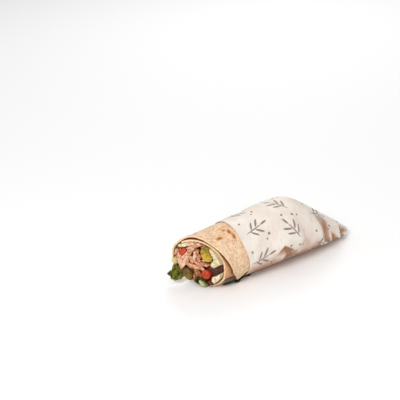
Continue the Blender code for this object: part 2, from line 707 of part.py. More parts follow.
def fold_height(s, phi):
    """How far the folds lift the paper at a point; they fade out where the wrap rests."""
    across_scale = profile_at(s)[0] * math.pi / 180
    lift = 0.0
    for (s0, phi0), (s1, phi1), height, half_width in FOLDS:
        a = Vector((s0 * MM, phi0 * across_scale))
        b = Vector((s1 * MM, phi1 * across_scale))
        p = Vector((s, phi * across_scale))
        t = min(1.0, max(0.0, (p - a).dot(b - a) / (b - a).length_squared))
        away = (p - a.lerp(b, t)).length / (half_width * MM)
        lift = max(lift, height * MM * max(0.0, 1.0 - away))
    resting = smoothstep(-52.0, -38.0, phi) * (1.0 - smoothstep(232.0, 246.0, phi))
    return lift * resting * smoothstep(0.0, 12 * MM, s - paper_mouth(phi))


def build_paper(collection):
    finish = material("paper", (0.83, 0.78, 0.73), 0.6)
    turns = [PAPER_PHI + 360.0 * i / PAPER_SIDES for i in range(PAPER_SIDES)]
    outer_steps = [(i / 21) ** 0.9 for i in range(22)]
    inner_steps = LENGTHS[:1] + LENGTHS[2:]

    def outer_ring(t):
        points = []
        for phi in turns:
            s = mix(paper_mouth(phi), TAIL_TIP, t)
            points.append(roll_point(s, phi, -fold_height(s, phi)))
        return points

    def inner_ring(t):
        return [roll_point(mix(paper_mouth(phi), CAVITY_END, t), phi, PAPER, PAPER)
                for phi in turns]

    def tail_ring(s, share):
        half_width = profile_at(TAIL_TIP)[0]
        return [roll_point(s, phi, half_width * (1.0 - share), 0.3 * MM) for phi in turns]

    inner = [inner_ring(t) for t in reversed(inner_steps)]
    outer = [outer_ring(t) for t in outer_steps]
    tail = [tail_ring(TAIL_TIP - 0.4 * MM, 0.7), tail_ring(TAIL_TIP - 2.0 * MM, 0.35)]
    cavity_hub = roll_point(CAVITY_END, 90.0, profile_at(CAVITY_END)[1])
    tail_hub = roll_point(TAIL_TIP - 3.0 * MM, 90.0, profile_at(TAIL_TIP - 3.0 * MM)[1])
    body = loft(inner + outer + tail, start_centre=cavity_hub, end_centre=tail_hub)
    return mesh_object("paper_sleeve", body, collection, finish)


def main():
    clear_scene()
    wrap = new_collection("tuna_wrap")
    build_tortilla(wrap)
    build_strips(wrap)
    build_lettuce(wrap)
    build_tuna(wrap)
    build_paper(wrap)


main()
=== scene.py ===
"""The looks of half a tuna wrap in its paper sleeve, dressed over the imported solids.

The forms repeat the part's own sizes and formulas: s runs along the roll in metres from the
rim's top, and phi is an angle in degrees that starts at the near side (-Y) and turns up over
the top (90) to the far side (180).
"""

import math
import random

import bmesh
import bpy
import numpy as np
from mathutils import Matrix, Vector, geometry, noise


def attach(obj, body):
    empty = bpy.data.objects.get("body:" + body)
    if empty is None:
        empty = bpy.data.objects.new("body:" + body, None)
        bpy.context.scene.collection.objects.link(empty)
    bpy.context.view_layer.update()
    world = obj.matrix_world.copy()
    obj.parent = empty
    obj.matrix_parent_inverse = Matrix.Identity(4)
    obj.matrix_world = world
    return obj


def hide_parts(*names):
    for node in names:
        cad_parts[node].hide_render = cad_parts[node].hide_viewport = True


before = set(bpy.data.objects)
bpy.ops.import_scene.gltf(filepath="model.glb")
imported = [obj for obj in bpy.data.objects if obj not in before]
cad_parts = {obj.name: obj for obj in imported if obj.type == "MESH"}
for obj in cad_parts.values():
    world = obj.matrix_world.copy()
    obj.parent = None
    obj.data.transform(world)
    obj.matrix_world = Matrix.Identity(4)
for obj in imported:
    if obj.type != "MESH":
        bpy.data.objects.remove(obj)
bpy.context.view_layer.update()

MM = 0.001
ORIGIN_S = 74.96 * MM        # the frame's origin lies at this s
ORIGIN_Y = 0.31 * MM         # and this far to the far side of the mouth's centre

# s, half width, half height, sideways shift of the sleeve's outside, in mm.
PROFILE_MM = np.array((
    (-15.0, 24.2, 24.2, 0.0),
    (0.0, 24.2, 24.2, 0.0),
    (35.0, 24.7, 24.7, 0.4),
    (55.0, 25.3, 24.9, 0.7),
    (72.0, 26.5, 26.0, 0.9),
    (88.0, 26.7, 26.2, 1.0),
    (96.0, 26.7, 26.2, 1.0),
    (104.5, 25.5, 24.7, 1.0),
    (114.0, 23.1, 21.8, 0.7),
    (124.0, 20.2, 18.0, 0.2),
    (136.0, 16.0, 13.2, -0.4),
    (149.0, 10.6, 8.3, -0.9),
    (157.0, 6.8, 5.1, -1.7),
    (162.4, 3.6, 2.8, -2.5),
))
MOUTH_RADIUS = 24.2 * MM     # the profile's radius at the mouth
FLAT_SINK = 0.9 * MM         # how far the round form is flattened where it rests
PAPER_STEP = 0.8 * MM        # the paper lifts the roll by this much behind its edge
STEP_SPAN = (5.0 * MM, 33.0 * MM)   # s over which the roll rises by that step

PAPER = 0.45 * MM            # wall of the sleeve
GAP = 0.35 * MM              # between any two pieces that touch
TORTILLA = 1.6 * MM          # thickness of the tortilla
LAYER_GAP = 0.5 * MM         # between its two layers on the near side
MOUTH_GAP = 0.4 * MM         # the layers part by this much more at the mouth
PARTED_LENGTH = 25.0 * MM    # over this length
ROLL_INSET = PAPER + GAP     # the roll's outside lies this far inside the profile
ROLL_END = 124.0 * MM        # far end of the rolled tortilla and of the filling
CAVITY_END = 125.5 * MM      # the sleeve is solid crumpled paper behind this
TAIL_TIP = 162.4 * MM

FLAP_PHI = -57.0             # the outer end of the tortilla, at the mouth
FLAP_PHI_BACK = -45.0        # and where it goes under the paper
FLAP_BACK_SPAN = (31.0 * MM, 41.0 * MM)   # s over which it turns from one to the other
INNER_PHI = 485.0            # the inner end of the tortilla, one and a half turns on
TUCK_START, TUCK_END = 268.0, 300.0   # the sheet steps in under its own flap here
SINGLE_FROM = (128.0, 142.0)          # past its inner end the wall has one layer

# The slanted cuts: s, and how much it grows with y and with the height over the centre.
CUT_FACE = (4.25 * MM, -0.45, -0.10)
CUT_RIM = (14.6 * MM, -0.2215, -0.439)
FACE_FROM = (80.0, 160.0)    # the sheet's edge passes from the rim's cut to the face's
FLAP_REACH_BACK = 5.0 * MM   # the flap's corner lies further back than its plane
FLAP_DROOP = 2.0 * MM        # and hangs this far off the roll
DROOP_LENGTH = 8.0 * MM      # over this much of the flap's length
FAR_SETBACK, FAR_FROM = 1.0 * MM, (140.0, 175.0)       # on the far side the edge steps back
LOWER_SETBACK, LOWER_FROM = 3.0 * MM, (196.0, 222.0)   # and further back low down
SETBACK_FALL = (262.0, 318.0)
MOUTH_FLARE = 2.0 * MM       # the inner layer's edge spreads outwards below the flap by this
FLARE_PHI = (272.0, 292.0, 326.0, 350.0)   # where it starts, is full, falls and ends
FLARE_LENGTH = 9.0 * MM

LEAF = 0.7 * MM              # thickness of a lettuce leaf
LEAF_ROOM = LEAF + GAP + 0.15 * MM
LINING_SPAN = (140.0, 150.0, 258.0, 266.0)   # where the lettuce lining starts, is full, falls, ends
RIB = 1.7 * MM               # the lining leaf's pale rib thickens it by this much
RIB_PHI = 185.0
RIB_WIDTH = 12.0             # in degrees, to either side
RIB_MARGIN = 4.0             # the filling makes room for it over this much more

# Shares of the roll's length behind the mouth; they lie closest where the roll tapers.
ALONG = (0.28, 0.40, 0.54, 0.67, 0.76, 0.84, 0.92, 1.0)


# ------------------------------------------------------------------ the roll's form

def smoothstep(low, high, value):
    t = np.clip((value - low) / (high - low), 0.0, 1.0)
    return t * t * (3.0 - 2.0 * t)


def hump(start, full, falling, end, value):
    """Rises from 0 to 1 between start and full, and back to 0 between falling and end."""
    return smoothstep(start, full, value) * (1.0 - smoothstep(falling, end, value))


def mix(a, b, t):
    return a + (b - a) * t


def stacked(*numbers):
    """Numbers or arrays of any shapes that fit, as one array of vectors."""
    return np.stack(np.broadcast_arrays(*numbers), axis=-1)


def profile_at(s):
    """Half width, half height and sideways shift at s, along a smooth curve."""
    table = PROFILE_MM
    last = len(table) - 1
    s_mm = np.clip(np.asarray(s, float) / MM, table[0, 0], table[-1, 0])
    k = np.clip(np.searchsorted(table[:, 0], s_mm) - 1, 0, last - 1)
    here, after = table[k], table[k + 1]
    before, beyond = table[np.maximum(k - 1, 0)], table[np.minimum(k + 2, last)]
    span = (after - here)[..., :1]
    t = (s_mm - here[..., 0])[..., None] / span
    slope_here = (after - before) / (after - before)[..., :1] * span
    slope_after = (beyond - here) / (beyond - here)[..., :1] * span
    value = ((2 * t ** 3 - 3 * t ** 2 + 1) * here + (t ** 3 - 2 * t ** 2 + t) * slope_here
             + (3 * t ** 2 - 2 * t ** 3) * after + (t ** 3 - t ** 2) * slope_after) * MM
    return value[..., 1], value[..., 2], value[..., 3]


def centre_height(s):
    settle = PAPER_STEP * (1.0 - smoothstep(*STEP_SPAN, s))
    return profile_at(s)[1] - FLAT_SINK - settle


def around(radius, phi):
    """The y and z of a place in the section, from its centre, at a radius and an angle."""
    turn = np.radians(phi)
    return -radius * np.cos(turn), radius * np.sin(turn)


def roll_point(s, phi, inset=0.0, lowest=0.0):
    """The points at angle phi of the section at s, drawn in by inset."""
    half_width, half_height, shift = profile_at(s)
    turn = np.radians(phi)
    y = shift - (half_width - inset) * np.cos(turn)
    z = centre_height(s) + (half_height - inset) * np.sin(turn)
    return stacked(s - ORIGIN_S, y - ORIGIN_Y, np.maximum(z, lowest))


def cut_at(plane, y, z):
    """Where a slanted cut meets the line at y, z, both measured from the mouth's centre."""
    at, per_y, per_z = plane
    return at + per_y * y + per_z * z


def mouth_edge(phi):
    """s of the tortilla's edge at an angle of the sheet's turns."""
    y, z = around(MOUTH_RADIUS, phi)
    rim = cut_at(CUT_RIM, y, z) + FLAP_REACH_BACK * smoothstep(-22.0, FLAP_PHI, phi)
    setback = FAR_SETBACK * smoothstep(*FAR_FROM, phi) + LOWER_SETBACK * smoothstep(*LOWER_FROM, phi)
    face = cut_at(CUT_FACE, y, z) + setback * (1.0 - smoothstep(*SETBACK_FALL, phi))
    return mix(rim, face, smoothstep(*FACE_FROM, phi))


def rib_share(phi, margin=0.0):
    return np.maximum(0.0, 1.0 - ((phi - RIB_PHI) / (RIB_WIDTH + margin)) ** 2)


def fill_inset(phi):
    """How far inside the profile the filling may reach, for phi between -57 and 303."""
    one_layer = ROLL_INSET + TORTILLA + GAP
    two_layers = one_layer + TORTILLA + LAYER_GAP + MOUTH_GAP
    doubled = 1.0 - smoothstep(*SINGLE_FROM, phi) + smoothstep(TUCK_START - 6, TUCK_END - 6, phi)
    room = LEAF_ROOM * hump(*LINING_SPAN, phi) + RIB * rib_share(phi, RIB_MARGIN)
    return mix(one_layer, two_layers, np.minimum(doubled, 1.0)) + room


def flare_at(phi, from_edge):
    """How far the inner layer and its filling spread outwards near the mouth."""
    return MOUTH_FLARE * hump(*FLARE_PHI, phi) * (1.0 - smoothstep(0.0, FLARE_LENGTH, from_edge))


def phi_of(y, z):
    phi = np.degrees(np.arctan2(z, -y))
    return np.where(phi < FLAP_PHI, phi + 360.0, phi)


def fill_point(y, z, t, proud=0.0):
    """Carry points y, z of the cut face along the roll, t = 0 at the face, 1 at the far end."""
    phi = phi_of(y, z)
    inset = fill_inset(phi)
    share = np.minimum(np.hypot(y, z) / (MOUTH_RADIUS - inset), 1.0)
    cut = cut_at(CUT_FACE, *around(share * (MOUTH_RADIUS - inset), phi))
    s = mix(cut - proud, ROLL_END, t)
    inset = inset - flare_at(np.where(phi < 0.0, phi + 360.0, phi), s - cut)
    half_width, half_height, shift = profile_at(s)
    turn = np.radians(phi)
    y_there = shift - share * (half_width - inset) * np.cos(turn)
    z_there = centre_height(s) + share * (half_height - inset) * np.sin(turn)
    return stacked(s - ORIGIN_S, y_there - ORIGIN_Y, z_there)


def noise_at(points, size, seed=0.0):
    """Smooth noise between about -1 and 1 at points in metres, with lumps of the given size."""
    flat = np.asarray(points).reshape(-1, 3) / size + seed
    values = np.array([noise.noise(Vector(p)) for p in flat])
    return values.reshape(np.asarray(points).shape[:-1])


# ------------------------------------------------------------------ meshes

def grid_faces(rows, columns, closed=False):
    """Quads of a grid of points stored row by row; closed joins its last column to its first."""
    i = np.arange(rows - 1)[:, None]
    j = np.arange(columns if closed else columns - 1)[None, :]
    row, next_row, j_next = i * columns, (i + 1) * columns, (j + 1) % columns
    return stacked(row + j, row + j_next, next_row + j_next, next_row + j).reshape(-1, 4).tolist()


def tube(rings, start, end):
    """The points and faces of a body through rings of points, closed by a hub at each end."""
    rows, sides = rings.shape[:2]
    faces = grid_faces(rows, sides, closed=True)
    hub = rows * sides
    for i in range(sides):
        j = (i + 1) % sides
        faces += [(hub, j, i), (hub + 1, hub - sides + i, hub - sides + j)]
    return np.concatenate((rings.reshape(-1, 3), [start, end])), faces


def thin_solid(grid, thickness):
    """A closed thin body round a grid of points; thickness is a number or one for each point."""
    rows, columns = grid.shape[:2]
    normal = np.cross(np.gradient(grid, axis=0), np.gradient(grid, axis=1))
    normal /= np.maximum(np.linalg.norm(normal, axis=-1, keepdims=True), 1e-12)
    half = 0.5 * np.broadcast_to(thickness, (rows, columns))[..., None] * normal
    points = np.concatenate(((grid + half).reshape(-1, 3), (grid - half).reshape(-1, 3)))
    count = rows * columns
    top = grid_faces(rows, columns)
    bottom = [[k + count for k in face[::-1]] for face in top]
    index = np.arange(count).reshape(rows, columns)
    border = np.concatenate((index[0], index[1:, -1], index[-1, -2::-1], index[-2:0:-1, 0])).tolist()
    walls = [(a, a + count, b + count, b) for a, b in zip(border, border[1:] + border[:1])]
    return points, top + bottom + walls


def merged(bodies):
    """The points and faces of several bodies, as one list of each."""
    points, faces, first = [], [], 0
    for body_points, body_faces in bodies:
        points.append(body_points)
        faces += [[k + first for k in face] for face in body_faces]
        first += len(body_points)
    return np.concatenate(points), faces


def linked(name, data):
    """A new object in the scene with the given data."""
    item = bpy.data.objects.new(name, data)
    bpy.context.scene.collection.objects.link(item)
    return item


def set_attribute(mesh, name, values, domain="POINT"):
    """Named values on a mesh, which its finish reads: vectors of three, or numbers."""
    values = np.asarray(values, np.float32)
    kind, field = ("FLOAT_VECTOR", "vector") if values.shape[-1] == 3 else ("FLOAT", "value")
    mesh.attributes.new(name, kind, domain).data.foreach_set(field, values.ravel())


def add_piece(name, points, faces, finish, slot, attributes):
    """A smooth mesh object, its faces turned outwards, that rides on the one body."""
    mesh = bpy.data.meshes.new(name)
    mesh.from_pydata(np.asarray(points).reshape(-1, 3).tolist(), [], faces)
    mesh.validate()
    shell = bmesh.new()
    shell.from_mesh(mesh)
    bmesh.ops.recalc_face_normals(shell, faces=shell.faces)
    shell.to_mesh(mesh)
    shell.free()
    mesh.materials.append(FINISH[finish])
    for key, values in attributes.items():
        set_attribute(mesh, key, values)
    mesh.shade_smooth()
    item = linked(name, mesh)
    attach(item, "root")
    return item


# ------------------------------------------------------------------ materials

def light(shade):
    """A shade as a picture stores it, 0 to 255, as the light that Blender works in.

    An output of a node stays as it is.
    """
    if isinstance(shade, bpy.types.NodeSocket):
        return shade
    return tuple((c / 255 / 12.92 if c <= 10 else ((c / 255 + 0.055) / 1.055) ** 2.4)
                 for c in shade) + (1.0,)


class Finish:
    """A material whose colour is laid in layers, and short ways to add nodes to it.

    Shades are red, green and blue from 0 to 255, or the output of a node.
    """

    def __init__(self, name, shade, specular=0.5, soft=None, coat=None):
        """soft is the share, the colour and the depth in mm of light that goes in; coat is
        the share and the roughness of the wet layer on top."""
        self.material = bpy.data.materials.new(name)
        self.material.use_nodes = True
        self.tree = self.material.node_tree
        self.shader = self.tree.nodes["Principled BSDF"]
        self.colour = shade
        self.put(self.shader, "Specular IOR Level", specular)
        if soft:
            self.put(self.shader, "Subsurface Weight", soft[0])
            self.put(self.shader, "Subsurface Radius", soft[1])
            self.put(self.shader, "Subsurface Scale", soft[2] * MM)
        if coat:
            self.put(self.shader, "Coat Weight", coat[0])
            self.put(self.shader, "Coat Roughness", coat[1])

    def put(self, node, key, value):
        socket = node.inputs[key]
        if isinstance(value, bpy.types.NodeSocket):
            self.tree.links.new(value, socket)
        else:
            socket.default_value = value

    def node(self, kind, inputs, output=0, **settings):
        """Add a node of a kind, and return one of its outputs."""
        node = self.tree.nodes.new("ShaderNode" + kind)
        for key, value in settings.items():
            setattr(node, key, value)
        for key, value in inputs.items():
            self.put(node, key, value)
        return node.outputs[output]

    def vector(self, name):
        return self.node("Attribute", {}, "Vector", attribute_name=name)

    def number(self, name):
        return self.node("Attribute", {}, "Fac", attribute_name=name)

    def place(self):
        """The point's place in the frame, in mm."""
        return self.stretch(self.node("TexCoord", {}, "Object"), (1000.0, 1000.0, 1000.0))

    def stretch(self, vector, factors):
        return self.node("VectorMath", {0: vector, 1: factors}, operation="MULTIPLY")

    def shift(self, vector, offset):
        return self.node("VectorMath", {0: vector, 1: offset}, operation="ADD")

    def axis(self, vector, index):
        """One number of a vector, by its index."""
        return self.node("SeparateXYZ", {0: vector}, index)

    def math(self, operation, a, b=0.0):
        return self.node("Math", {0: a, 1: b}, operation=operation)

    def noise(self, vector, scale=1.0, detail=3.0, roughness=0.5, distortion=0.0, output="Fac"):
        inputs = {"Vector": vector, "Scale": scale, "Detail": detail,
                  "Roughness": roughness, "Distortion": distortion}
        return self.node("TexNoise", inputs, output)

    def cells(self, vector, scale=1.0, feature="F1"):
        return self.node("TexVoronoi", {"Vector": vector, "Scale": scale}, "Distance", feature=feature)

    def between(self, value, low, high, at_low=0.0, at_high=1.0):
        """A number that goes smoothly from at_low to at_high as value goes from low to high."""
        inputs = {"Value": value, "From Min": low, "From Max": high,
                  "To Min": at_low, "To Max": at_high}
        return self.node("MapRange", inputs, interpolation_type="SMOOTHSTEP")

    def blend(self, share, a, b, kind="MIX"):
        """Shade a with b laid over it by a share."""
        inputs = {0: share, 6: light(a), 7: light(b)}
        return self.node("Mix", inputs, 2, data_type="RGBA", blend_type=kind)

    def cover(self, shade, share, kind="MIX"):
        """Lay a shade over the colour so far by a share."""
        self.colour = self.blend(share, self.colour, shade, kind)

    def lay(self, shade, value, low, high, at_low=0.0, at_high=1.0, kind="MIX"):
        """Lay a shade over the colour so far by a share that goes with a value."""
        self.cover(shade, self.between(value, low, high, at_low, at_high), kind)

    def wear(self, roughness, height=None, depth=0.0):
        """Give the shader its colour, roughness and bumps of a depth; return the material."""
        self.put(self.shader, "Base Color", light(self.colour))
        self.put(self.shader, "Roughness", roughness)
        if height:
            bumps = self.node("Bump", {"Height": height, "Distance": depth, "Strength": 1.0})
            self.put(self.shader, "Normal", bumps)
        return self.material


def tortilla_finish():
    """Pale wheat dough: mottled, with brown specks, toasted blisters and a paler crumb at the cut."""
    f = Finish("toasted_dough", (238, 207, 174), 0.25, soft=(0.12, (1.0, 0.6, 0.35), 1.2))
    sheet = f.vector("sheet")
    mottle = f.noise(sheet, 0.16, 4.0, 0.55)
    f.lay((224, 182, 144), mottle, 0.35, 0.65)
    flour = f.noise(f.shift(sheet, (40.0, 9.0, 0.0)), 0.3, 3.0, 0.6, 0.6)
    f.lay((248, 232, 206), flour, 0.5, 0.72, 0.0, 0.55)
    toast = f.noise(f.shift(sheet, (7.0, 3.0, 0.0)), 0.28, 5.0, 0.65, 0.8)
    f.lay((214, 154, 98), toast, 0.58, 0.78, 0.0, 0.7)
    grain = f.noise(f.shift(sheet, (0.0, 60.0, 0.0)), 0.46, 4.0, 0.65)
    f.lay((206, 158, 114), grain, 0.52, 0.68, 0.0, 0.6)
    f.lay((250, 234, 208), grain, 0.34, 0.46, 0.6, 0.0)
    speck_size = f.noise(f.shift(sheet, (0.0, 30.0, 0.0)), 0.35, 2.0)
    speck = f.math("ADD", f.cells(sheet, 0.46), f.between(speck_size, 0.35, 0.6, 0.24, 0.0))
    f.lay((168, 104, 62), speck, 0.19, 0.33, 0.75, 0.0)
    fleck = f.cells(f.shift(sheet, (11.0, 5.0, 0.0)), 0.75)
    fleck = f.math("ADD", fleck, f.between(flour, 0.4, 0.65, 0.0, 0.3))
    f.lay((184, 112, 76), fleck, 0.12, 0.28, 0.6, 0.0)
    ragged = f.math("ADD", f.number("toast"), f.between(toast, 0.3, 0.7, -0.28, 0.28))
    f.lay((222, 158, 96), ragged, 0.32, 0.5, 0.0, 0.85)
    f.lay((162, 98, 44), ragged, 0.6, 0.95, 0.0, 0.9)
    # The turn that runs in under the flap is darkened with painted shade from the flap, and the whole
    # inner side is browner.
    f.lay((232, 190, 142), f.axis(sheet, 1), 121.0, 127.0, 0.0, 0.75, "MULTIPLY")
    f.lay((226, 178, 128), f.axis(sheet, 2), 1.45, 1.6, 0.0, 0.8, "MULTIPLY")
    # Painted shadow of the flap on the inner layer, along and behind the flap's rim.
    f.cover((128, 74, 36), f.math("MULTIPLY", f.number("under"), 0.9), "MULTIPLY")
    pores = f.between(f.noise(f.place(), 0.7, 3.0, 0.6), 0.35, 0.65)
    f.cover(f.blend(pores, (244, 216, 178), (230, 190, 144)), f.number("crumb"))
    height = f.math("MULTIPLY", f.noise(sheet, 1.1, 5.0, 0.6), 0.7)
    height = f.math("ADD", height, f.noise(sheet, 0.3, 2.0))
    return f.wear(f.between(mottle, 0.3, 0.7, 0.62, 0.8), height, 0.45 * MM)


def paper_finish():
    """Greaseproof paper: off white, crinkled, with a grey print of sprigs and a tan tint that is partly
    grease stain and partly painted shade and painted warm reflection.
    """
    f = Finish("greaseproof_paper", (240, 230, 220), 0.35)
    sheet = f.vector("sheet")
    tone = f.noise(sheet, 0.05, 4.0, 0.55)
    f.lay((230, 216, 204), tone, 0.35, 0.65)
    # The tan tint, in patches: grease stain with painted shade in the creases' hollows and a painted
    # warm reflection along the low side.
    patchy = f.between(f.noise(sheet, 0.12, 3.0, 0.5, 0.5), 0.3, 0.6, 0.7, 1.0)
    f.cover((172, 117, 78), f.math("MULTIPLY", f.between(f.number("grease_and_shade"), 0.0, 0.82), patchy))
    worn = f.between(f.noise(sheet, 1.4, 3.0, 0.6), 0.25, 0.5, 0.72, 0.95)
    worn = f.math("MULTIPLY", worn, f.between(f.axis(sheet, 0), *PRINT_FADES_MM, 1.0, 0.0))
    f.cover((132, 118, 108), f.math("MULTIPLY", sprig_print(f, sheet), worn))
    crinkle = f.cells(f.shift(sheet, (3.0, 3.0, 0.0)), 0.16, "DISTANCE_TO_EDGE")
    height = f.math("MULTIPLY", f.between(crinkle, 0.0, 0.35), 0.8)
    height = f.math("ADD", height, f.noise(sheet, 0.55, 5.0, 0.65, 0.4))
    return f.wear(f.between(tone, 0.3, 0.7, 0.48, 0.62), height, 0.2 * MM)


# The print: a sprig in each tile of the sheet, every other column of tiles moved by half a tile.
TILE_MM = (34.0, 27.0)
PRINT_SIZE = 1.36
PRINT_MIDDLE = 100.0         # degrees round from the sheet's seam, where the print runs straightest
PRINT_FADES_MM = (148.0, 153.0)   # s over which it fades out towards the tail
SPRIG_TILT, SPRIG_SWING = 0.55, 1.9   # a sprig's lean in radians, and its swing in every other column
# Each leaf and dot: its place from the tile's middle and its half sizes in mm, its turn in degrees.
SPRIG = (
    ((0.0, -0.6), (0.42, 6.6), 0),
    ((-2.8, 3.6), (0.72, 3.2), 44),
    ((2.8, 2.2), (0.72, 3.2), -44),
    ((-2.7, -0.6), (0.66, 3.0), 48),
    ((2.6, -2.0), (0.66, 3.0), -48),
    ((0.0, 7.6), (0.72, 2.4), 0),
    ((7.6, 6.2), (0.9, 0.9), 0),
    ((9.6, 3.4), (0.65, 0.65), 0),
    ((-8.2, -5.4), (0.8, 0.8), 0),
)


def sprig_print(f, sheet):
    """A mask that is 1 inside the printed sprigs and dots."""
    tile_u, tile_v = TILE_MM
    u, v = f.axis(sheet, 0), f.axis(sheet, 1)
    odd = f.math("PINGPONG", f.math("FLOOR", f.math("DIVIDE", u, tile_u)), 1.0)
    v = f.math("ADD", v, f.math("MULTIPLY", odd, tile_v / 2))
    u = f.math("SUBTRACT", f.math("FLOORED_MODULO", u, tile_u), tile_u / 2)
    v = f.math("SUBTRACT", f.math("FLOORED_MODULO", v, tile_v), tile_v / 2)
    at = f.stretch(f.node("CombineXYZ", {0: u, 1: v}), (1 / PRINT_SIZE, 1 / PRINT_SIZE, 1.0))
    tilt = f.math("SUBTRACT", f.math("MULTIPLY", odd, SPRIG_SWING), SPRIG_TILT)
    at = f.node("VectorRotate", {"Vector": at, "Angle": tilt}, rotation_type="Z_AXIS")
    nearest = None
    for place, half_sizes, turn in SPRIG:
        inputs = {"Vector": at, "Location": (*place, 0.0), "Rotation": (0.0, 0.0, math.radians(turn)),
                  "Scale": (*half_sizes, 1.0)}
        local = f.node("Mapping", inputs, vector_type="TEXTURE")
        away = f.node("VectorMath", {0: local}, "Value", operation="LENGTH")
        nearest = away if nearest is None else f.math("MINIMUM", nearest, away)
    return f.between(nearest, 0.88, 1.06, 1.0, 0.0)


def tuna_finish():
    """Moist tuna: pink to tan flakes with fibres along them, and painted shade that darkens the hollows
    between them.
    """
    f = Finish("tuna_flakes", (144, 76, 34), 0.45, soft=(0.2, (1.0, 0.5, 0.3), 1.5), coat=(0.15, 0.25))
    fibre = f.noise(f.stretch(f.vector("grain"), (0.35, 3.2, 1.0)), 1.0, 4.0, 0.6, 0.3)
    blotch = f.noise(f.place(), 0.35, 3.0, 0.6)
    tone = f.math("ADD", f.number("tone"), f.between(blotch, 0.3, 0.7, -0.3, 0.3))
    f.lay((212, 137, 91), tone, 0.1, 0.6)
    f.lay((253, 206, 174), tone, 0.6, 1.05)
    f.lay((168, 92, 54), fibre, 0.5, 0.68, 0.0, 0.5)
    f.lay((251, 210, 174), fibre, 0.28, 0.42, 0.5, 0.0)
    # Painted shade in the hollows between the flakes and on the core behind them.
    f.lay((58, 22, 8), f.number("depth"), 0.06, 0.74)
    return f.wear(f.between(fibre, 0.3, 0.7, 0.38, 0.6), fibre, 0.5 * MM)


def gherkin_finish(name, flesh, flesh_dark, skin, top, top_mm):
    """Pickled gherkin: wet flesh with pale seeds near the middle, a green skin, and a greener
    top between two heights in mm."""
    f = Finish(name, flesh, 0.3, soft=(0.25, (1.0, 0.8, 0.25), 2.0), coat=(0.12, 0.12))
    rim = f.number("rim")
    place = f.place()
    mottle = f.noise(place, 0.4, 3.0, 0.55, 0.5)
    f.lay(flesh_dark, mottle, 0.35, 0.65)
    above = f.math("ADD", f.axis(place, 2), f.between(mottle, 0.3, 0.7, -3.0, 3.0))
    f.lay(top, above, *top_mm, 0.0, 0.8)
    seed = f.cells(f.stretch(place, (0.35, 0.62, 0.42)), 1.0)
    seeds = f.between(seed, 0.14, 0.3, 1.0, 0.0)
    seeds = f.math("MULTIPLY", seeds, f.between(rim, 0.35, 0.75, 0.8, 0.0))
    f.cover((226, 202, 122), f.math("MULTIPLY", seeds, 0.6))
    streak = f.noise(f.stretch(place, (0.12, 0.9, 0.9)), 1.0, 3.0)
    f.lay(f.blend(f.between(streak, 0.4, 0.6), skin, flesh_dark), rim, 0.8, 0.97)
    height = f.math("ADD", mottle, f.math("MULTIPLY", seed, 0.3))
    return f.wear(f.between(mottle, 0.3, 0.7, 0.2, 0.38), height, 0.35 * MM)


def tomato_finish(name, flesh, flesh_dark, skin):
    """Diced tomato: wet flesh, paler fibres and a redder skin."""
    f = Finish(name, flesh, 0.3, soft=(0.25, (1.0, 0.25, 0.1), 1.8), coat=(0.12, 0.12))
    place = f.place()
    mottle = f.noise(place, 0.45, 4.0, 0.6, 0.8)
    f.lay(flesh_dark, mottle, 0.35, 0.65)
    fibre = f.noise(f.stretch(place, (0.3, 1.6, 0.7)), 1.0, 3.0, 0.6)
    f.lay((226, 128, 66), fibre, 0.55, 0.72, 0.0, 0.45)
    f.lay(skin, f.number("rim"), 0.8, 0.97)
    return f.wear(f.between(mottle, 0.3, 0.7, 0.18, 0.34), mottle, 0.5 * MM)


def egg_finish():
    """Boiled egg white: smooth, faintly translucent, with small dents and a trace of dressing; its
    edges are darkened with painted shade.
    """
    f = Finish("egg_white", (222, 202, 162), soft=(0.4, (1.0, 0.8, 0.55), 2.2), coat=(0.15, 0.2))
    place = f.place()
    mottle = f.noise(place, 0.22, 3.0, 0.5)
    f.lay((196, 174, 128), mottle, 0.35, 0.65)
    greenish = f.noise(f.shift(place, (20.0, 0.0, 0.0)), 0.15, 2.0)
    f.lay((200, 188, 136), greenish, 0.5, 0.7, 0.0, 0.5)
    bright = f.noise(f.shift(place, (0.0, 20.0, 5.0)), 0.3, 3.0, 0.6)
    f.lay((246, 234, 212), bright, 0.46, 0.6, 0.0, 0.8)
    # Painted shade round the edges of the egg white.
    f.lay((176, 154, 104), f.number("rim"), 0.7, 1.0, 0.0, 0.65)
    broad = f.math("MULTIPLY", f.noise(place, 0.22, 2.0), 2.5)
    dents = f.math("ADD", f.noise(place, 0.6, 3.0, 0.5), broad)
    return f.wear(f.between(mottle, 0.3, 0.7, 0.3, 0.42), dents, 0.6 * MM)


def olive_finish():
    """Black olive: very dark brown-red, oily."""
    f = Finish("olive_flesh", (50, 12, 6), 0.3, coat=(0.12, 0.12))
    mottle = f.noise(f.place(), 0.5, 3.0, 0.6, 0.5)
    f.lay((86, 38, 20), mottle, 0.35, 0.65)
    return f.wear(f.between(mottle, 0.3, 0.7, 0.22, 0.4), mottle, 0.5 * MM)


def leaf_finish(name, dark, bright, vein):
    """Lettuce: green that varies over the leaf, paler veins and a soft waxy shine."""
    f = Finish(name, dark, 0.25, soft=(0.15, (0.5, 1.0, 0.2), 0.8), coat=(0.05, 0.2))
    leaf = f.vector("leaf")
    tone = f.noise(leaf, 0.28, 3.0, 0.55)
    f.lay(bright, tone, 0.4, 0.6)
    bend = f.noise(leaf, 0.35, 2.0, output="Color")
    bent = f.shift(leaf, f.stretch(bend, (5.0, 5.0, 0.0)))
    veins = f.cells(f.stretch(bent, (0.22, 0.42, 1.0)), 1.0, "DISTANCE_TO_EDGE")
    f.lay(vein, veins, 0.0, 0.09, 0.5, 0.0)
    f.cover((232, 210, 152), f.number("rib"))
    wrinkles = f.math("MULTIPLY", f.noise(leaf, 0.8, 3.0), 0.6)
    height = f.math("ADD", f.between(veins, 0.0, 0.2), wrinkles)
    return f.wear(f.between(tone, 0.3, 0.7, 0.32, 0.5), height, 0.3 * MM)


